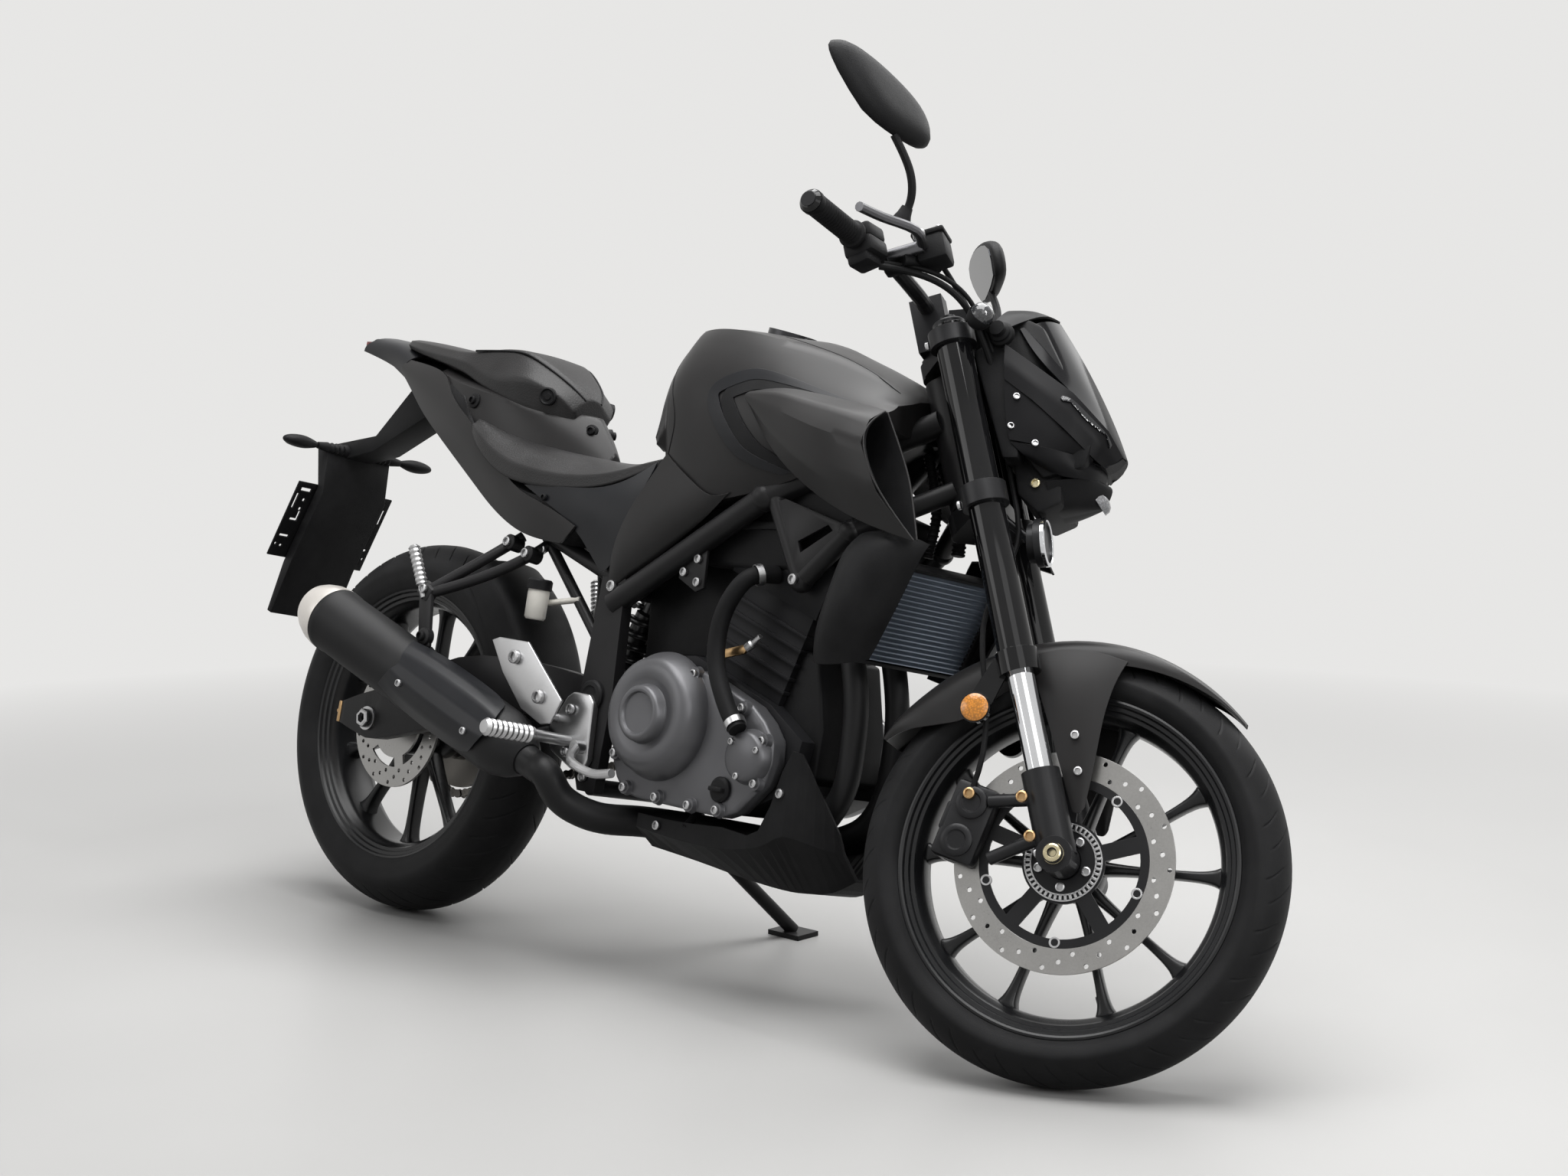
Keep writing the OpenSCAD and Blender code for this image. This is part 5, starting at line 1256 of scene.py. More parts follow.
    def tail(self) -> None:
        """The tail: painted bands and tip over the plain cowl, and the cowl under the pillion seat."""
        b = self.bench
        b.refined("tail_cowl", PLASTIC, 1, 60.0)
        b.done(b.panel("tail_bands", self.band_rows, 4.0, 3), SATIN, edge=Edge.FIRM)
        tip = [[(-305, 36, 955), (-303, 37, 966), (-268, 34, 980), (-262, 0, 984)],
               [(-222, 42, 936), (-216, 48, 957), (-192, 47, 970), (-190, 0, 976)],
               [(-154, 56, 914), (-150, 61, 930), (-128, 60, 944), (-126, 0, 958)]]
        b.done(b.panel("tail_tips", tip), SATIN_DARK, edge=Edge.FIRM)
        b.done(b.loft("under_cowl", rings_of(self.under_rows), 2, 24.0, 0.85), SATIN, edge=Edge.FIRM)
        low = b.lathe("pad", [(0, 0), (13, 0), (13, 2.5), (10, 4), (0, 4)], 32, (102, 98, 866),
                      (0.05, 1, 0.1))
        front = b.lathe(
            "pad", [(0, -14), (11, -14), (11, 2), (9, 3), (0, 3)], 32, (317, 21, 838), (0.45, 0.89, 0.1))
        b.done(b.pair(b.join("cowl_pads", low, front)), PLASTIC)
        screws = both_sides([(102, 101, 866, self.screw_r)], (0.0, 1, 0.1))
        screws += both_sides([(318.5, 23.5, 838.3, self.screw_r)], (0.5, 1, 0.1))
        b.done(b.bolts("tail_bolts", screws), PLASTIC)
        self.rear_signals()
        self.plate_holder()

    def rear_signals(self) -> None:
        """Leaf-shaped rear signals on ribbed stalks."""
        b = self.bench
        x, z = self.leaf_at
        turns = [k * math.pi / 5 for k in range(10)]
        leaf = [[(x + wide * math.cos(a), y, z + tall * math.sin(a)) for a in turns]
                for y, wide, tall in self.leaf_rows]
        boot = [(0, 0), (12, 0),
                *((11.5 - 0.3 * k - (k % 2) * 2.0, 4.0 + 5.0 * k) for k in range(9)), (6, 64), (0, 64)]
        stalk = b.lathe("stalk", boot, 24, (-319, 29, 772), LEFT)
        shells = b.join("rear_signal_leaves", stalk, b.loft("leaf", leaf, 2))
        b.done(b.pair(shells), PLASTIC, ["rear_signals"], Edge.SOFT)
        lens = b.loft("rear_signal_lenses", [[(x - 4.0, y, z) for x, y, z in ring] for ring in leaf[2:5]], 2)
        b.done(b.pair(lens), SMOKED, edge=Edge.SOFT)

    def plate_holder(self) -> None:
        """The blank plate on its arm, with the holder's slots cut through."""
        b = self.bench
        piece = b.bevel(b.node_copy("plate_bracket"), 1.2)
        tilt = Matrix.Translation(self.plate_at) @ Matrix.Rotation(math.radians(self.plate_tilt_deg), 4, "Y")
        for side in SIDES:
            for y, z, wide, tall in self.plate_slots:
                slot = b.block("slot", (-14, side * y, z), (16, wide, tall), 1.0)
                slot.data.transform(tilt)
                piece = b.cut(piece, slot)
        piece.name = "plate_holder"
        b.done(piece, PLASTIC, ["plate_bracket"], Edge.SOFT)

    def seats(self) -> None:
        """Both seats: rolled covers with a piped edge."""
        b = self.bench
        rider = b.loft("rider_cushion", rings_of(self.rider_rows), 3, 30.0, 0.6)
        b.done(rider, VINYL, ["rider_seat"], Edge.PADDED)
        pillion = b.loft("pillion_cushion", rings_of(self.pillion_rows), 3, 26.0, 0.72)
        piping = b.tube(
            "piping", [(62, 80, 954), (140, 76, 957), (180, 69, 955), (212, 59, 941), (246, 45, 922),
            (272, 33, 905), (287, 17, 888)], 1.8)
        button = b.lathe(
            "buttons", [(0, -4), (15, -4), (15, 3), (12.5, 4.5), (10, 2), (7, 2), (5.5, 3.6), (0, 3.6)], 40,
            (252, 70, 884), (0.42, 0.9, -0.1))
        b.done(pillion, VINYL, ["pillion_seat"], Edge.PADDED)
        b.done(b.pair(b.join("pillion_trim", button, piping)), PLASTIC, edge=Edge.SOFT)


@dataclass
class Engine:
    """The engine's covers and blocks, its cooling, the frame plates beside it and its exhaust."""

    bench: Bench
    case_y: float = -98.0
    cover_y: float = -132.0
    clutch: Flat = (700.0, 402.0)
    pump: Flat = (892.0, 366.0)
    cover_outline: Sequence[Flat] = (
        (604, 330), (620, 300), (640, 280), (670, 275), (850, 272), (880, 284), (925, 330), (933, 362),
        (930, 395), (908, 420), (880, 440), (770, 478), (700, 480), (650, 470), (616, 440), (606, 420))
    cover_bolts: Sequence[Flat] = (
        (618, 336), (650, 288), (720, 283), (790, 281), (848, 282), (915, 330), (918, 392), (868, 434),
        (760, 472), (640, 452))
    radiator_at: Point = (1072.0, 0.0, 594.0)
    radiator_tilt_deg: float = 22.0
    core_half_w: float = 114.0
    core_half_h: float = 72.0
    tube_count: int = 19
    tube_gap: float = 7.4
    fin_count: int = 76
    muffler_front: Point = (470.0, -180.0, 302.0)
    muffler_back: Point = (-30.0, -206.0, 468.0)
    muffler_r: float = 54.0
    # Heat shield: along the muffler, half its spread round it in degrees
    shield_rows: Sequence[Flat] = ((40, 50), (70, 66), (150, 70), (230, 66), (285, 48))
    shield_columns: int = 7
    shield_turn_deg: float = -24.0

    def build(self) -> None:
        """Makes the engine's pieces."""
        self.covers()
        self.blocks()
        self.radiator()
        self.frame_plates()
        self.hoses()
        self.exhaust()
        self.muffler_shield()

    def covers(self) -> None:
        """The right-hand cover: a plate, the clutch dome, the pump, their bolts and the release arm."""
        b, y = self.bench, self.cover_y
        plate = b.plate("cover", self.cover_outline, y, self.case_y - 0.1, 7.0, 4)
        dome = b.lathe(
            "dome", [(97, -2), (96, 5), (92, 12), (86, 28), (80, 35), (72, 38), (58, 39), (54, 37),
            (45, 36), (43, 40), (42, 49), (39, 53), (35, 54), (32, 53), (30, 49), (0, 48)], 96,
            (self.clutch[0], y, self.clutch[1]), RIGHT)
        pump = b.lathe("pump", [(41, -2), (40, 4), (37, 10), (35, 16), (31, 19), (0, 20)], 64,
                       (self.pump[0], y, self.pump[1]), RIGHT)
        bosses = b.join(
            "bosses", *[b.lathe("boss", [(12, -2), (10.5, 3), (10, 7), (0, 7)], 24, (x, y, z), RIGHT)
                        for x, z in self.cover_bolts])
        b.done(b.join("clutch_cover_cast", plate, dome, pump, bosses), ENGINE_GREY, ["clutch_cover"],
               Edge.SOFT)
        heads = [((x, y - 7, z), RIGHT, 6.5) for x, z in self.cover_bolts]
        for k in range(3):
            turn = 2.0 * math.pi * k / 3 + 0.4
            heads.append(((self.pump[0] + 30 * math.cos(turn), y - 18, self.pump[1] + 30 * math.sin(turn)),
                          RIGHT, 5.0))
        b.done(b.bolts("cover_bolts", heads), ALLOY)
        plug = b.lathe("plug", [(19, -2), (19, 5), (15, 8), (0, 9)], 40, (846, y, 312), RIGHT)
        wing = b.block("wing", (846, y - 12, 312), (26, 9, 7), 2.0)
        b.done(b.join("oil_plug", plug, wing), PLASTIC)
        stem = b.lathe("stem", [(9, -20), (9, 10), (6, 12), (6, 20), (0, 20)], 24, (786, -118, 486), UP)
        arm = b.plate("arm", [(780, 500), (792, 500), (836, 512), (842, 520), (836, 526), (786, 512)], -122,
                      -116, 1.5)
        b.done(b.join("release_arm", stem, arm), BRASS)
        adjuster = b.lathe(
            "adjuster", [(4, 0), (7, 2), (7, 14), (4, 16), (4, 34), (0, 34)], 24, (838, -119, 520),
            (0.8, -0.1, 0.6))
        b.done(adjuster, ALLOY)

    def blocks(self) -> None:
        """Crankcase and cylinder with rounded edges, the intake and the left cover."""
        b = self.bench
        for node, width in (("crankcase", 4.0), ("cylinder_head", 2.5)):
            piece = b.bevel(b.node_copy(node), width)
            piece.name = f"{node}_cast"
            b.done(piece, ENGINE_BLACK, [node], Edge.SOFT)
        inlet = b.plate("inlet", [(556, 606), (700, 700), (836, 690), (770, 500), (640, 494), (572, 440)],
                        -62, 62, 6.0, 3)
        horns = [b.lathe("horn", [(0, -40), (26, -40), (28, -30), (24, -24), (24, 30), (28, 34), (0, 34)], 40,
                         (736, y, 590), (-0.9, 0, 0.42)) for y in (-34, 34)]
        front = b.plate("front", [(870, 540), (936, 524), (966, 420), (966, 350), (930, 330), (880, 340)],
                        -70, 70, 5.0, 3)
        b.done(b.join("intake_bodies", *horns, front, inlet), PLASTIC, edge=Edge.SOFT)
        left = b.lathe(
            "alternator_cover_cast", [(94, 0), (93, 8), (90, 30), (84, 48), (74, 56), (40, 59), (38, 62),
            (34, 62), (32, 59), (0, 59)], 96, (842, 98.1, 380), LEFT)
        guard = b.plate(
            "guard", [(590, 350), (700, 330), (740, 420), (700, 470), (610, 460)], 98.1, 120, 5.0, 3)
        b.done(b.join("alternator_cover_cast", guard, left), ENGINE_GREY, ["alternator_cover"], Edge.SOFT)
        ring = [((842 + 84 * math.cos(a), 128, 380 + 84 * math.sin(a)), LEFT, 6.0)
                for a in (k * math.pi / 4 for k in range(8))]
        b.done(b.bolts("left_bolts", ring), ALLOY)

    def radiator(self) -> None:
        """The radiator's tubes and fins, its frame and its shrouds."""
        b = self.bench
        tilt = Matrix.Translation(self.radiator_at) @ Matrix.Rotation(
            math.radians(self.radiator_tilt_deg), 4, "Y")
        w, h = self.core_half_w, self.core_half_h
        bar = b.block("tube", (-12, 0, 0), (24, 2 * w, 2.2), 0.5)
        tubes = b.copies("tubes", bar, [tilt @ Matrix.Translation((0, 0, 4 - h + self.tube_gap * k))
                                        for k in range(self.tube_count)])
        blade = b.block("fin", (-13, 0, 0), (20, 0.7, 2 * h - 4), 0.1)
        last = self.fin_count - 1
        fins = b.copies("fins", blade, [tilt @ Matrix.Translation((0, w * (2 * k / last - 1), 0))
                                        for k in range(self.fin_count)])
        b.done(b.join("radiator_core", tubes, fins), FINS)
        tanks = b.block("tank", (-15, w + 7, 0), (34, 14, 2 * h + 8), 3.0)
        rails = b.block("rail", (-15, 0, h + 2), (32, 2 * w, 5), 1.0)
        lower = b.block("rail_low", (-15, 0, -h - 2), (32, 2 * w, 5), 1.0)
        back = b.block("back", (-27, 0, 0), (4, 2 * w, 2 * h), 0.5)
        frame = b.join("radiator_frame", b.pair(tanks), rails, lower, back)
        frame.data.transform(tilt)
        b.done(frame, PLASTIC, ["radiator"])
        shroud = [[(1030, 126, 700), (1052, 140, 704), (1100, 142, 708), (1134, 132, 704), (1146, 112, 698)],
                  [(1010, 136, 676), (1044, 166, 684), (1094, 168, 690), (1132, 146, 688), (1140, 118, 684)],
                  [(1000, 138, 620), (1030, 174, 622), (1074, 176, 626), (1112, 150, 632), (1122, 120, 634)],
                  [(984, 136, 560), (1010, 172, 556), (1048, 174, 560), (1084, 150, 566), (1096, 120, 572)],
                  [(980, 126, 520), (1002, 150, 512), (1036, 152, 514), (1062, 138, 522), (1074, 118, 530)]]
        b.done(b.panel("shroud_panels", shroud, 4.0, 2), PLASTIC, ["radiator_shrouds"], Edge.SOFT)

    def frame_plates(self) -> None:
        """The air box under the tank, and the plates and lugs that the frame carries beside it."""
        b = self.bench
        box = [(600, 752), (900, 764), (984, 742), (976, 690), (900, 646), (840, 640), (700, 636), (640, 668)]
        lid = b.plate("lid", [(630, 700), (900, 716), (904, 704), (634, 688)], -96, 96, 2.0)
        b.done(b.join("air_box", lid, b.plate("box", box, -90, 90, 8.0, 3)), PLASTIC)
        mount = [(846, 736), (866, 744), (984, 716), (992, 700), (930, 640), (914, 634), (900, 644)]
        slot = [(912, 668), (968, 704), (958, 712), (904, 684)]
        sheet = b.plate("frame_plates", mount, 112, 118, 0.0)
        sheet = b.cut(sheet, b.plate("slot", slot, 100, 130, 0.0))
        b.done(b.pair(b.bevel(sheet, 1.0)), FRAME_PAINT)
        lug = b.plate(
            "frame_lugs", [(690, 660), (720, 664), (724, 600), (708, 593), (668, 611), (668, 630)], 108,
            114, 1.2)
        b.done(b.pair(lug), FRAME_PAINT)
        marks = both_sides([(706, 114, 643, 7), (680, 114, 621, 7), (711, 114, 608, 7)])
        b.done(b.bolts("lug_bolts", marks), ALLOY)

    def hoses(self) -> None:
        """The coolant hose with its clamps, and the ribbed hoses behind the steering head."""
        b = self.bench
        b.refined("coolant_hose", RUBBER, 1, 60.0)
        clamps = [
            b.lathe("clamp", [(14.6, -5), (16.2, -5), (16.2, 5), (14.6, 5), (14.6, -5)], 32, spot, way)
            for spot, way in (((839, -119, 629), (0.4, 0.8, 0.3)), ((872, -153, 410), (0.7, -0.05, -0.7)))]
        b.done(b.join("hose_clamps", *clamps), ALLOY)
        hoses = [b.ribbed("hose", path, radius) for path, radius in (
            (((1060, 56, 700), (1052, 60, 750), (1020, 62, 800), (990, 58, 850)), 9.0),
            (((1044, -40, 690), (1048, -56, 740), (1024, -64, 790), (994, -60, 856)), 8.0),
            (((1020, -64, 700), (1010, -66, 760), (980, -68, 836)), 6.5),
            (((1034, 20, 690), (1034, 24, 760), (1004, 22, 840)), 7.0))]
        b.done(b.join("head_hoses", *hoses), RUBBER, edge=Edge.SOFT)

    def exhaust(self) -> None:
        """The pipes, the muffler with its stay, and the brushed end cap."""
        b = self.bench
        b.refined("exhaust_header", EXHAUST, 1, 60.0)
        start, end = Vector(self.muffler_front), Vector(self.muffler_back)
        way, length, r = (end - start).normalized(), (end - start).length, self.muffler_r
        body = b.lathe(
            "can", [(0, 0), (26, 0), (32, 6), (45, 28), (52, 50), (r, 62), (r, length - 14),
            (r + 1.5, length - 12), (r + 1.5, length - 2), (r - 2, length), (0, length)], 72,
            self.muffler_front, tuple(way))
        stay = b.tube("stay", [(462, -135, 350), tuple(start.lerp(end, 0.12))], 9.0, soft=False)
        b.done(b.join("muffler_can", stay, body), EXHAUST, ["muffler"], Edge.SOFT)
        cap = b.lathe(
            "muffler_end", [(r + 1, 0), (r + 1, 8), (r - 1, 22), (r - 7, 40), (r - 13, 52), (r - 20, 55),
            (r - 26, 52), (r - 29, 46), (r - 30, 20), (0, 20)], 72, self.muffler_back, tuple(way))
        b.done(cap, BRUSHED, ["muffler_cap"], Edge.SOFT)

    def muffler_shield(self) -> None:
        """The creased heat shield on the muffler's outer side."""
        b, r = self.bench, self.muffler_r
        start = Vector(self.muffler_front)
        way = (Vector(self.muffler_back) - start).normalized()
        side = Vector(UP).cross(way).normalized()
        up = way.cross(side)
        grid = []
        for along, spread in self.shield_rows:
            row = []
            for k in range(self.shield_columns):
                turn = math.radians(self.shield_turn_deg + spread * (k / 3.0 - 1.0))
                lift = r + 5.0 + (2.5 if k in (2, 3, 4) else 0.0)
                out = side * math.cos(turn) - up * math.sin(turn)
                row.append(tuple(start + way * (along + 10 * abs(k - 3)) + out * lift))
            grid.append(row)
        b.done(b.panel("muffler_shield", grid, 2.0, 2, pair=False, crease_deg=12.0), SATIN_DARK,
               edge=Edge.CRISP)
        spots = [(tuple(start + way * d + side * (r + 7)), tuple(side), 6.0) for d in (88, 262)]
        b.done(b.bolts("shield_bolts", spots), ALLOY)


@dataclass
class Running:
    """Frame fittings, footrests, chain, swingarm, rear fluid pot and shock."""

    bench: Bench
    pitch: float = 15.875
    # Link's side plate: share of the pitch, height
    link_outline: Sequence[Flat] = (
        (-0.22, -6), (0.1, -7.2), (0.5, -5.2), (0.9, -7.2), (1.22, -6), (1.4, 0), (1.22, 6), (0.9, 7.2),
        (0.5, 5.2), (0.1, 7.2), (-0.22, 6), (-0.4, 0))
    chain_y: float = 86.5
    drive: Flat = (604.0, 404.0)
    drive_r: float = 30.0
    wheel_z: float = 314.0
    wheel_r: float = 98.0
    chain_lift: float = 10.5
    shock_low: Point = (452.0, 0.0, 432.0)
    shock_top: Point = (500.0, 0.0, 560.0)
    coil_r: float = 28.0
    coil_steps: int = 96
    coil_step_rad: float = 0.42
    hugger_deg: Sequence[int] = range(14, 63, 8)

    def build(self) -> None:
        """Makes all the running gear's pieces."""
        self.frame_fittings()
        self.rests()
        self.chain()
        self.swingarm()
        self.rear_pot()
        self.shock()

    def frame_fittings(self) -> None:
        """Pivot caps and the bolts of the engine mounts and brackets."""
        b = self.bench
        cap = b.lathe("pivot_caps", [(25, -2), (25, 4), (22, 7), (16, 8), (14, 6), (0, 6)], 48,
                      (529, 120, 414), LEFT)
        b.done(b.pair(cap), PLASTIC)
        spots = [(536, 121, 586, 9), (540, 121, 290, 8), (912, 121, 628, 8), (504, 136, 389, 8),
                 (508, 136, 323, 8), (263, 92, 640, 7), (329, 92, 632, 7), (946, 114, 322, 7),
                 (700, 105, 240, 7)]
        b.done(b.bolts("frame_bolts", both_sides(spots)), ALLOY)

    def rests(self) -> None:
        """Heel plates, hangers and ribbed pegs."""
        b = self.bench
        heel = b.plate(
            "heel", [(335, 476), (352, 482), (421, 481), (470, 440), (519, 400), (500, 362), (480, 358),
            (429, 377), (372, 428)], 168, 173, 1.5, 3)
        post = b.tube("post", [(470, 132, 372), (470, 170, 372)], 7, soft=False)
        ribs = [(12 + (k % 2) * 2.0, 76 + 5.0 * k) for k in range(17)]
        peg = b.lathe(
            "peg", [(0, 0), (9, 0), (9, 70), (12, 73)] + ribs + [(14, 160), (10, 166), (0, 167)], 32,
            (508, 134, 340), (-0.06, 1, 0.03))
        b.done(b.pair(b.join("footrest_sets", post, peg, heel)), ALLOY, ["footrests"], Edge.SOFT)
        hanger = b.plate(
            "hangers_cast", [(488, 408), (500, 416), (536, 416), (548, 404), (554, 316), (546, 302),
            (520, 298), (470, 320), (450, 346), (462, 366)], 120.1, 134, 3.0, 3)
        b.done(b.pair(hanger), ALLOY, ["footrest_hangers"], Edge.SOFT)
        b.done(b.bolts("heel_bolts", both_sides([(470, 173, 400, 11), (400, 173, 455, 11)])), ALLOY)
        self.pillion_rests()

    def pillion_rests(self) -> None:
        """Two-armed pillion brackets with folded pegs, and the muffler's hanger on the right."""
        b = self.bench
        rear = b.tube("rear", [(268, 86, 650), (236, 140, 596), (178, 186, 540)], 9.0)
        front = b.tube("front", [(330, 86, 640), (300, 140, 582), (178, 188, 534)], 9.0)
        joint = b.block("joint", (174, 187, 537), (34, 18, 26), 5.0, Matrix.Rotation(0.5, 4, "Y"))
        ends = [b.lathe("end", [(0, -12), (13, -12), (13, 12), (10, 14), (0, 14)], 32, spot, (0, 1, 0.1))
                for spot in ((262, 98, 636), (320, 106, 620))]
        b.done(b.pair(b.join("pillion_arms", rear, front, *ends, joint)), FRAME_PAINT, ["pillion_brackets"],
               Edge.SOFT)
        spots = both_sides([(262, 111, 637, 8), (320, 119, 621, 8), (176, 196, 540, 8)], (0, 1, 0.1))
        b.done(b.bolts("pillion_bolts", spots), ALLOY)
        ribs = [(8.5 + (k % 2) * 1.8, 20.0 + 4.0 * k) for k in range(15)]
        peg = b.lathe(
            "pillion_pegs", [(0, -6), (7, -6), (7, 14), (10, 17)] + ribs + [(10, 79), (6, 83), (0, 83)], 24,
            (172, 192, 532), (-0.39, 0.14, 0.91))
        b.done(b.pair(peg), ALLOY, edge=Edge.SOFT)
        hanger = b.plate(
            "hanger", [(160, 540), (190, 540), (206, 450), (196, 436), (180, 446)], -194, -186, 1.5)
        pad = b.lathe("pad", [(0, -4), (14, -4), (14, 8), (10, 10), (0, 10)], 32, (194, -190, 464), RIGHT)
        b.done(b.join("muffler_hanger", pad, hanger), FRAME_PAINT)
        b.done(b.bolts("hanger_bolt", [((194, -200, 464), RIGHT, 8.0)]), PLASTIC)

    def chain(self) -> None:
        """The chain: inner and outer links by turns along its run."""
        b = self.bench
        path = self.chain_path()
        plate = [(x * self.pitch, z) for x, z in self.link_outline]
        links = []
        for kind, gap in (("inner", 3.6), ("outer", 6.2)):
            near = b.plate("near", plate, gap, gap + 1.9, 0.4, 1)
            far = b.plate("far", plate, -gap - 1.9, -gap, 0.4, 1)
            roller = b.lathe(
                "roller", [(0, -8.6), (2.6, -8.6), (2.6, -3.6), (5.1, -3.6), (5.1, 3.6), (2.6, 3.6),
                (2.6, 8.6), (0, 8.6)], 12)
            links.append(b.join(kind, near, far, roller))
        places: list[list[Matrix]] = [[], []]
        for i, (spot, angle) in enumerate(path):
            turn = Matrix.Translation((spot[0], self.chain_y, spot[1])) @ Matrix.Rotation(-angle, 4, "Y")
            places[i % 2].append(turn)
        parts = [b.copies(f"links_{k}", link, spots) for k, (link, spots) in enumerate(zip(links, places))]
        b.done(b.join("chain_links", *parts), CHAIN_STEEL, ["chain"])

    def chain_path(self) -> list[tuple[Flat, float]]:
        """Places and angles of the links, evenly spaced along the two runs and the two wraps."""
        reach, rise = self.drive[0], self.drive[1] - self.wheel_z
        slope, span = math.atan2(rise, reach), math.hypot(reach, rise)
        big, small = self.wheel_r + self.chain_lift, self.drive_r + self.chain_lift
        lean = math.asin((big - small) / span)
        run = span * math.cos(lean)
        low, high = slope - math.pi / 2 + lean, slope + math.pi / 2 - lean
        hub = (0.0, self.wheel_z)
        # Stretch of chain: length, centre, radius, first angle, whether it wraps
        stretches = ((big * (math.pi + 2 * lean), hub, big, high, True), (run, hub, big, low, False),
                     (small * (math.pi - 2 * lean), self.drive, small, low, True),
                     (run, self.drive, small, high, False))
        total = sum(row[0] for row in stretches)
        count = 2 * round(total / self.pitch / 2)
        spots = []
        for i in range(count):
            d = total * i / count
            for length, centre, radius, first, wraps in stretches:
                if d < length:
                    break
                d -= length
            turn, ahead = (d / radius, 0.0) if wraps else (0.0, d)
            a = first + turn
            heading = a + math.pi / 2
            spots.append(((centre[0] + radius * math.cos(a) + ahead * math.cos(heading),
                           centre[1] + radius * math.sin(a) + ahead * math.sin(heading)), heading))
        return spots

    def swingarm(self) -> None:
        """The swingarm with its hugger, axle nuts and chain adjusters."""
        b = self.bench
        arm = b.bevel(b.node_copy("swingarm"), 4.0, 3)
        arm.name = "swingarm_skin"
        b.done(arm, FRAME_PAINT, ["swingarm"], Edge.SOFT)
        guard = []
        for angle in self.hugger_deg:
            edge = 262.0 + 1.1 * max(0, angle - 40)
            guard.append(arch(angle, [(74, edge), (76, 300), (66, 326), (36, 334), (0, 336)], self.wheel_z))
        b.done(b.panel("rear_hugger", guard, 2.6, 2, pair=False), PLASTIC, edge=Edge.SOFT)
        washer = b.lathe("washer", [(20, 0), (20, 4), (14, 4), (14, 0), (20, 0)], 40, (0, 129.2, 314), LEFT)
        nut = b.lathe("nut", [(15.5, 4), (15.5, 13), (13, 15), (9, 15), (9, 4)], 6, (0, 129.2, 314), LEFT)
        b.done(b.pair(b.join("axle_nuts", washer, nut)), ALLOY)
        end = b.block("adjusters", (-80, 117, 317), (8, 26, 36), 1.5)
        screw = b.tube("screw", [(-98, 117, 317), (-70, 117, 317)], 4.0, soft=False)
        b.done(b.pair(b.join("adjusters", end, screw)), BRASS)

    def rear_pot(self) -> None:
        """The rear brake's fluid pot with its stay and cap."""
        b = self.bench
        pot = b.lathe("pot", [(0, 518), (14, 518), (17, 522), (17.5, 560), (17, 566), (0, 566)], 40,
                      (364, -118, 0), UP)
        stay = b.tube("stay", [(372, -100, 548), (430, -88, 560)], 5.0, soft=False)
        b.done(b.join("rear_pot", stay, pot), WHITE_POT, ["rear_reservoir"], Edge.SOFT)
        cap = b.lathe("rear_pot_cap", [(0, 566), (20, 566), (20, 568), (20, 580), (17, 583), (0, 583)], 24,
                      (364, -118, 0), UP)
        b.done(cap, PLASTIC)

    def shock(self) -> None:
        """The rear shock: a damper inside its coil."""
        b = self.bench
        low, top = Vector(self.shock_low), Vector(self.shock_top)
        along, side = (top - low).normalized(), Vector(LEFT)
        over = along.cross(side)
        coil = []
        for k in range(self.coil_steps + 1):
            turn = k * self.coil_step_rad
            out = side * math.cos(turn) + over * math.sin(turn)
            coil.append(tuple(low.lerp(top, k / self.coil_steps) + out * self.coil_r))
        spring = b.tube("spring", coil, 5.0, soft=False)
        damper = b.lathe(
            "damper", [(0, -30), (13, -30), (14, 4), (20, 6), (20, 130), (13, 134), (13, 172), (0, 172)],
            40, tuple(low), tuple(along))
        b.done(b.join("shock_coil", damper, spring), SPRING, ["rear_shock"], Edge.PADDED)


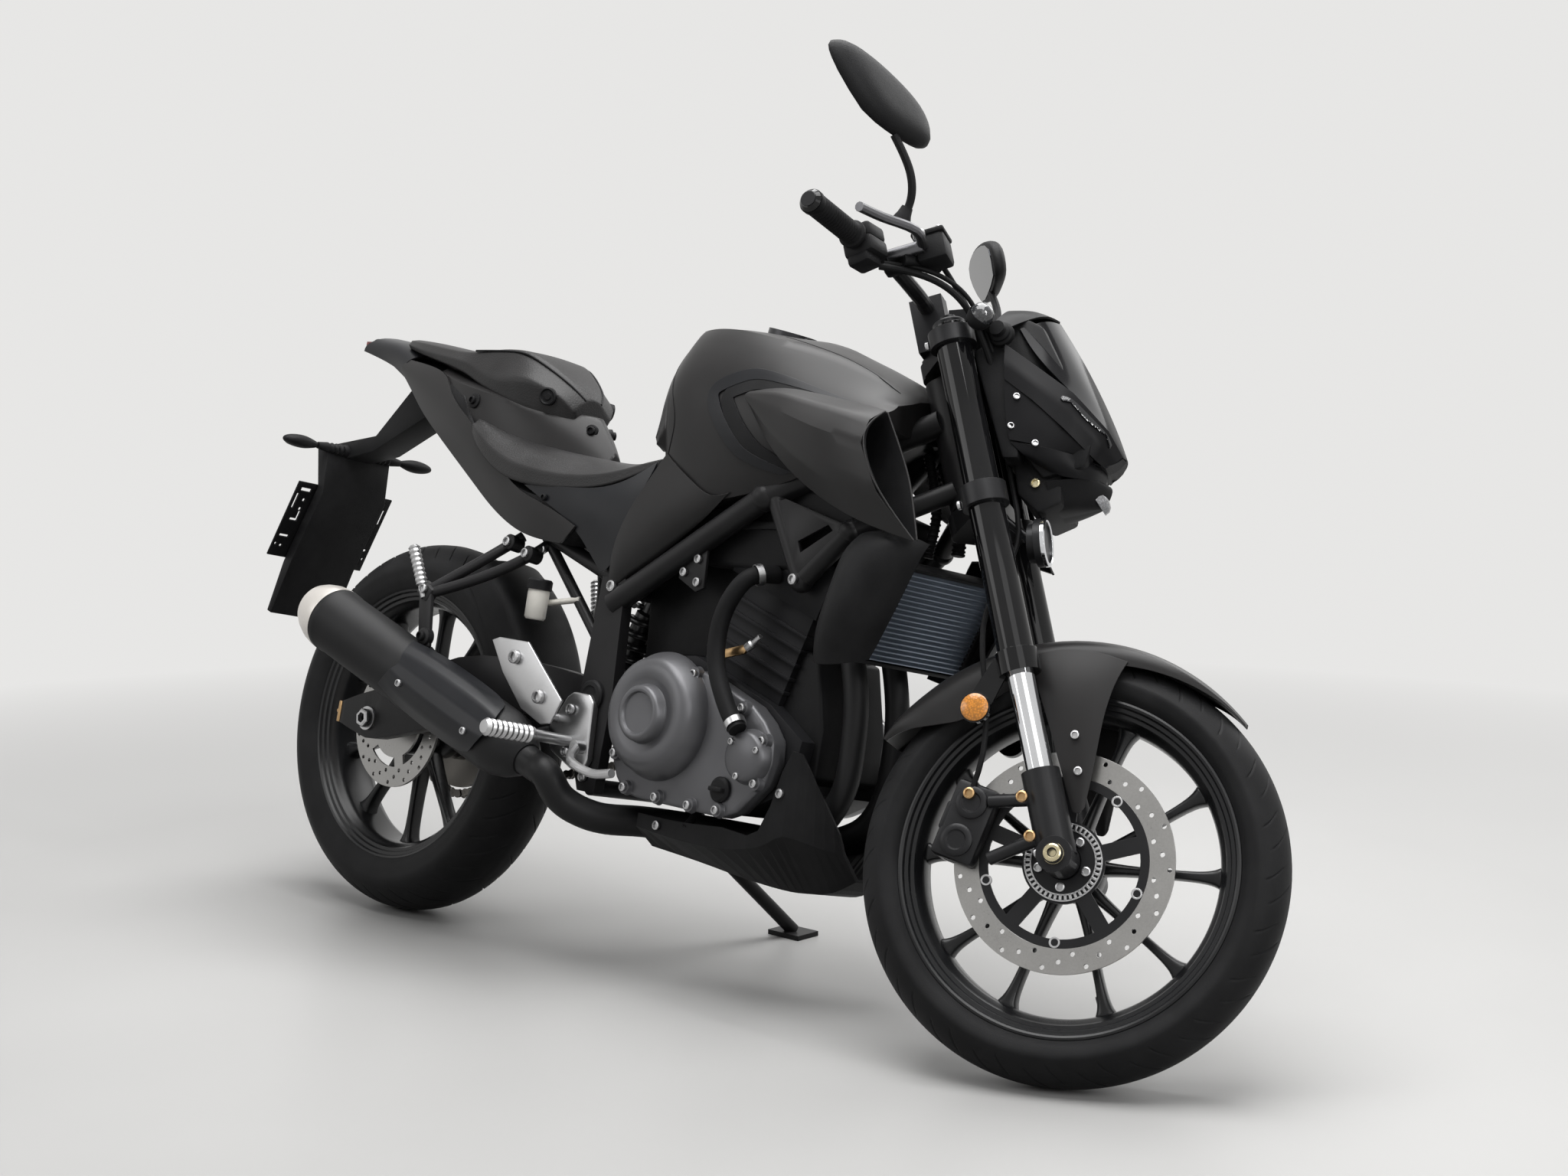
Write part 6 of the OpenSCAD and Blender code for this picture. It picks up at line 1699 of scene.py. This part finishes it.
@dataclass
class Controls:
    """The handlebar's fittings, the front caliper and the fork's small pieces."""

    bench: Bench
    grip_start: Point = (-79.2, 255.0, 878.0)
    grip_end: Point = (-103.5, 372.0, 884.6)
    housing_turn_deg: float = 15.0
    caliper_turn_deg: float = -146.0
    disc_y: float = -60.25

    def build(self) -> None:
        """Makes all the controls."""
        self.grips()
        self.switches()
        self.pot()
        self.caliper()
        self.fork_fittings()
        self.signals()

    def grips(self) -> None:
        """Ribbed grips and glossy bar ends."""
        b = self.bench
        start, end = Vector(self.grip_start), Vector(self.grip_end)
        way, length = (end - start).normalized(), (end - start).length
        ribs = [(16.4 - (k % 2) * 1.2, 10 + k * (length - 22) / 30.0) for k in range(31)]
        grip = b.lathe(
            "grip_sleeves", [(11, 0), (20, 0), (20, 5), (17, 7)] + ribs + [(17.5, length - 8),
            (17.5, length - 1), (11, length)], 40, tuple(start), tuple(way))
        b.done(b.pair(grip), RUBBER, ["grips"])
        knob = b.lathe("bar_ends", [(0, 0), (15, 0), (16.5, 3), (16.5, 9), (12, 14), (6, 15.5), (0, 15.5)],
                       40, tuple(end - way * 8), tuple(way))
        b.done(b.pair(knob), GLOSS)

    def switches(self) -> None:
        """Switch housings with their looms, a red stop switch and plain buttons."""
        b = self.bench
        turn = Matrix.Rotation(math.radians(self.housing_turn_deg), 4, "Z")
        upper = b.block("upper", (-70, 228, 885), (42, 46, 22), 5.0, turn)
        lower = b.block("lower", (-72, 226, 864), (46, 50, 26), 6.0, turn)
        lip = b.block("lip", (-76, 230, 846), (34, 40, 16), 5.0, turn)
        b.done(b.pair(b.join("switch_housings", upper, lower, lip)), PLASTIC, ["switchgear"], Edge.SOFT)
        rocker = b.block("stop_switch", (-76, -222, 898), (14, 20, 8), 2.5, Matrix.Rotation(-0.26, 4, "Z"))
        b.done(rocker, RED_PLASTIC)
        looms = [b.tube("loom", path, radius) for path, radius in (
            ([(-62, 204, 846), (-20, 182, 836), (26, 146, 806), (44, 112, 756), (46, 84, 700)], 5.0),
            ([(-56, 196, 852), (-14, 174, 846), (34, 138, 814), (50, 108, 764), (52, 80, 706)], 3.6))]
        b.done(b.pair(b.join("switch_looms", *looms)), RUBBER)
        knobs = b.block("buttons", (-92, 224, 866), (5, 14, 8), 1.5, turn)
        b.done(b.pair(knobs), RUBBER)

    def pot(self) -> None:
        """The front brake's fluid pot with its lid and clamp, and the levers' adjusters."""
        b = self.bench
        box = b.block("pot", (11, -165, 862), (44, 50, 40), 6.0)
        lid = b.block("lid", (11, -165, 884), (48, 54, 8), 3.0)
        master = b.tube("master", [(-30, -190, 852), (4, -160, 852), (6, -136, 852)], 9.0, soft=False)
        clamp = b.block("clamp", (-40, -170, 862), (44, 22, 36), 5.0)
        b.done(b.join("brake_pot", clamp, master, lid, box), PLASTIC, ["brake_reservoir"], Edge.SOFT)
        marks = [((11 + dx, -165 + dy, 888), UP, 3.6) for dx in (-16, 16) for dy in (-19, 19)]
        b.done(b.bolts("pot_screws", marks), ALLOY)
        wheel = b.lathe("lever_wheels", [(0, -6), (8, -6), (9, -3), (9, 4), (7, 7), (0, 8)], 20,
                        (2, 206, 874), (0.1, 0.2, 1))
        b.done(b.pair(wheel), ALLOY)

    def caliper(self) -> None:
        """The axle's ends, and the caliper with its piston wells, arms and bolts."""
        b, y = self.bench, self.disc_y
        nut = b.lathe(
            "front_axle_nuts", [(14, 0), (14, 2), (12, 2), (12, 10), (10, 11.5), (6.5, 11.5), (6, 3),
            (0, 3)], 40, (0, 125.5, 0), LEFT)
        b.done(b.pair(nut), ZINC)
        aim = Matrix.Rotation(math.radians(self.caliper_turn_deg), 4, "Y")
        body = b.block("body", (139, y, 0), (62, 60, 108), 7.0)
        slot = b.block("slot", (120, y, 0), (70, 14.5, 140), 0.5)
        b.cut(body, slot)
        wells = [b.lathe("well", [(22, -2), (22, 4), (19, 6), (14, 6), (12, 4), (0, 4)], 40,
                         (139, -90.2, z), RIGHT) for z in (-27, 27)]
        bridge = b.block("bridge", (166, y, 0), (12, 58, 40), 4.0)
        shell = b.join("caliper_cast", *wells, bridge, body)
        shell.data.transform(aim)
        arms = [b.tube("arm", path, 9.0, soft=False)
                for path in ([(-22, -98, 84), (-76, -92, 96)], [(-22, -98, 30), (-92, -92, 20)])]
        b.done(b.join("caliper_cast", *arms, shell), ALLOY_BLACK, ["front_caliper"], Edge.SOFT)
        spots = [(spot, RIGHT, 8) for spot in ((-26, -122, 84), (-26, -122, 30), (-100, -94, 112))]
        b.done(b.bolts("caliper_bolts", spots), BRASS)

    def fork_fittings(self) -> None:
        """Reflectors, pinch bolts, the fork's caps and the stem's nut."""
        b = self.bench
        glass = b.lathe(
            "reflector_lenses", [(0, 0), (18.5, 0), (19, 2), (17, 3.2), (0, 4.2)], 48, (-67, 114.0, 221),
            LEFT)
        b.done(b.pair(glass), AMBER)
        spots = both_sides([(-34, 98, 512, 6.5), (-34, 98, 756, 6.5), (-25, 98, 12, 6)], (-1, 0, 0))
        b.done(b.bolts("pinch_bolts", spots), ALLOY)
        caps = b.lathe("fork_caps", [(24, -2), (24, 5), (21, 8), (12, 9), (11, 16), (0, 17)], 48,
                       (0, 98, 775), UP)
        b.done(b.pair(caps), ALLOY_BLACK)
        stem = b.lathe("stem_nut", [(20, 0), (20, 10), (15, 12), (0, 12)], 6, (-38, 0, 776), UP)
        b.done(stem, ALLOY)

    def signals(self) -> None:
        """Oval front signals with clear lenses on short stalks."""
        b = self.bench
        lens = b.lathe("signal_lenses", [(0, 20), (9, 18), (15, 12), (17.5, 3), (17, -2), (0, -2)], 40,
                       (52, 136, 762), (0.72, 0.5, 0.3))
        b.done(b.pair(lens), GREY_LENS, ["front_signals"], Edge.PADDED)
        shell = b.lathe(
            "signal_shells", [(18.5, 2), (19, -2), (16, -12), (10, -18), (0, -20)], 40, (52, 136, 762),
            (0.72, 0.5, 0.3))
        stalk = b.tube("stalk", [(62, 92, 752), (50, 122, 758)], 7.0, soft=False)
        b.done(b.pair(b.join("signal_shells", stalk, shell)), PLASTIC, edge=Edge.PADDED)


@dataclass
class Studio:
    """The camera at the photograph's place, soft lamps, a pale floor and a pale backdrop."""

    eye: Point = (2.788, -2.809, 1.049)
    pan_deg: float = 43.74
    tilt_deg: float = 6.69
    focal_px: float = 3303.13
    frame_px: float = 2048.0
    floor_colour: Point = (0.44, 0.437, 0.43)
    back_colour: Point = (0.80, 0.795, 0.785)
    dark_floor: Point = (0.10, 0.10, 0.10)
    sky_colour: Point = (0.10, 0.101, 0.104)
    fade: Flat = (1.5, 3.4)
    floor_size: float = 30.0
    floor_roughness: float = 0.30
    floor_shine: float = 0.12
    sensor_mm: float = 36.0
    far_clip: float = 60.0
    # Lamp: name, place, aim, width and height, watts
    lamps: Sequence[tuple[str, Point, Point, Flat, float]] = (
        ("top_softbox", (0.2, 0.1, 3.3), (0.0, 0.0, 0.5), (3.6, 2.8), 205.0),
        ("front_softbox", (3.6, -2.0, 2.8), (0.2, 0.0, 0.5), (2.4, 2.4), 24.0),
        ("side_softbox", (-1.8, -3.4, 2.4), (-0.2, 0.0, 0.5), (2.4, 1.6), 24.0),
        ("far_softbox", (0.4, 3.2, 2.6), (0.0, 0.0, 0.6), (2.8, 1.6), 36.0),
        ("strip_lamp", (5.0, -0.4, 1.9), (0.8, 0.0, 0.8), (0.22, 3.0), 60.0))

    def build(self) -> None:
        """Makes all of it."""
        bpy.context.scene.view_settings.view_transform = "Standard"
        self.camera()
        self.floor()
        self.world()
        for row in self.lamps:
            self.lamp(*row)

    def camera(self) -> None:
        """The camera, from the place solved from the photograph."""
        data = bpy.data.cameras.new("camera")
        data.sensor_width = self.sensor_mm
        data.lens = data.sensor_width * self.focal_px / self.frame_px
        data.clip_end = self.far_clip
        camera = bpy.data.objects.new("camera", data)
        bpy.context.scene.collection.objects.link(camera)
        pan, tilt = math.radians(self.pan_deg), math.radians(self.tilt_deg)
        look = Vector((-math.sin(pan) * math.cos(tilt), math.cos(pan) * math.cos(tilt), -math.sin(tilt)))
        camera.location = self.eye
        camera.rotation_mode = "QUATERNION"
        camera.rotation_quaternion = look.to_track_quat("-Z", "Y")
        bpy.context.scene.camera = camera

    def lamp(self, name: str, place: Point, aim: Point, size: Flat, power: float) -> None:
        """One rectangular soft lamp.

        Args:
            name: The lamp's name.
            place: Where it hangs, in metres.
            aim: The point it faces.
            size: Its width and height.
            power: Its power in watts.
        """
        data = bpy.data.lights.new(name, "AREA")
        data.shape = "RECTANGLE"
        data.size, data.size_y = size
        data.energy = power
        lamp = bpy.data.objects.new(name, data)
        bpy.context.scene.collection.objects.link(lamp)
        lamp.location = place
        lamp.rotation_mode = "QUATERNION"
        lamp.rotation_quaternion = (Vector(aim) - Vector(place)).to_track_quat("-Z", "Y")

    def floor(self) -> None:
        """A pale floor that keeps the shadow and a little of the reflection."""
        bpy.ops.mesh.primitive_plane_add(size=self.floor_size)
        plane = bpy.context.object
        plane.name = "floor"
        s = Shader(bpy.data.materials.new("pale_floor"))
        broad = s.noise(1.3, 4.0)
        tint = s.mix(s.ramp(broad, 0.3, 0.7), self.floor_colour, tuple(c * 1.05 for c in self.floor_colour))
        seen = self.seen(s)
        shade = s.mix(seen, self.dark_floor, tint)
        near = s.node("ShaderNodeBsdfPrincipled", {}, {
            "Base Color": shade, "Roughness": broad * 0.12 + self.floor_roughness,
            "Specular IOR Level": self.floor_shine})
        far = s.node("ShaderNodeEmission", {}, {"Color": (*self.back_colour, 1.0)})
        reach = s.node("ShaderNodeVectorMath", {"operation": "LENGTH"}, {0: s.place()}).out("Value")
        share = s.ramp(reach, *self.fade) * seen
        plane.data.materials.append(s.end(s.node("ShaderNodeMixShader", {}, {0: share, 1: near, 2: far})))

    @staticmethod
    def seen(s: Shader) -> Socket:
        """1 for what the camera sees, by itself, in gloss or through glass, or else 0."""
        path = s.node("ShaderNodeLightPath")
        kinds = [path.out(f"Is {kind} Ray") for kind in ("Camera", "Glossy", "Transmission")]
        return (kinds[0] + kinds[1] + kinds[2]).clamp()

    def world(self) -> None:
        """A pale backdrop for the camera and a plain soft light for the rest."""
        world = bpy.data.worlds.new("backdrop")
        bpy.context.scene.world = world
        s = Shader(world)
        tint = s.mix(self.seen(s), self.sky_colour, self.back_colour)
        s.end(s.node("ShaderNodeBackground", {}, {"Color": tint}))


def dress_nodes(nodes: dict[str, Piece]) -> None:
    """Gives every node of the frame its finish."""
    finishes = {name: finish for finish, names in FINISH_NODES.items() for name in names}
    for name, node in nodes.items():
        node.data.materials.clear()
        node.data.materials.append(coat(finishes[name]))


def main() -> None:
    """Builds the scene around the frame."""
    logging.basicConfig(level=logging.INFO, format="%(message)s")
    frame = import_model()
    Studio().build()
    dress_nodes(frame["nodes"])
    stance = Stance(frame["joints"])
    hub = stance.bike @ Matrix.Translation((0.0, 0.0, stance.rear_radius_mm))
    chassis, fork = Bench(stance.bike, Body.CHASSIS), Bench(stance.fork, Body.FORK)
    Wheel(Bench(stance.fork, Body.FRONT_WHEEL), "front", FRONT_SECTION, rim_half=38.0, hub_r=40.0,
          hub_half=58.0, disc_r=149.0, disc_y=-60.2, disc_band=34.0, long_sipe=(14.0, 43.0),
          short_sipe=(28.0, 49.0), bobbin_r=107.0).build()
    Wheel(Bench(hub, Body.REAR_WHEEL), "rear", REAR_SECTION, rim_half=51.0, hub_r=52.0, hub_half=62.0,
          disc_r=110.0, disc_y=-64.2, disc_band=34.0, long_sipe=(18.0, 56.0), short_sipe=(36.0, 63.0)).build()
    FrontEnd(fork).build()
    Controls(fork).build()
    Bodywork(chassis).build()
    Engine(chassis).build()
    Running(chassis).build()


if __name__ == "__main__":
    main()
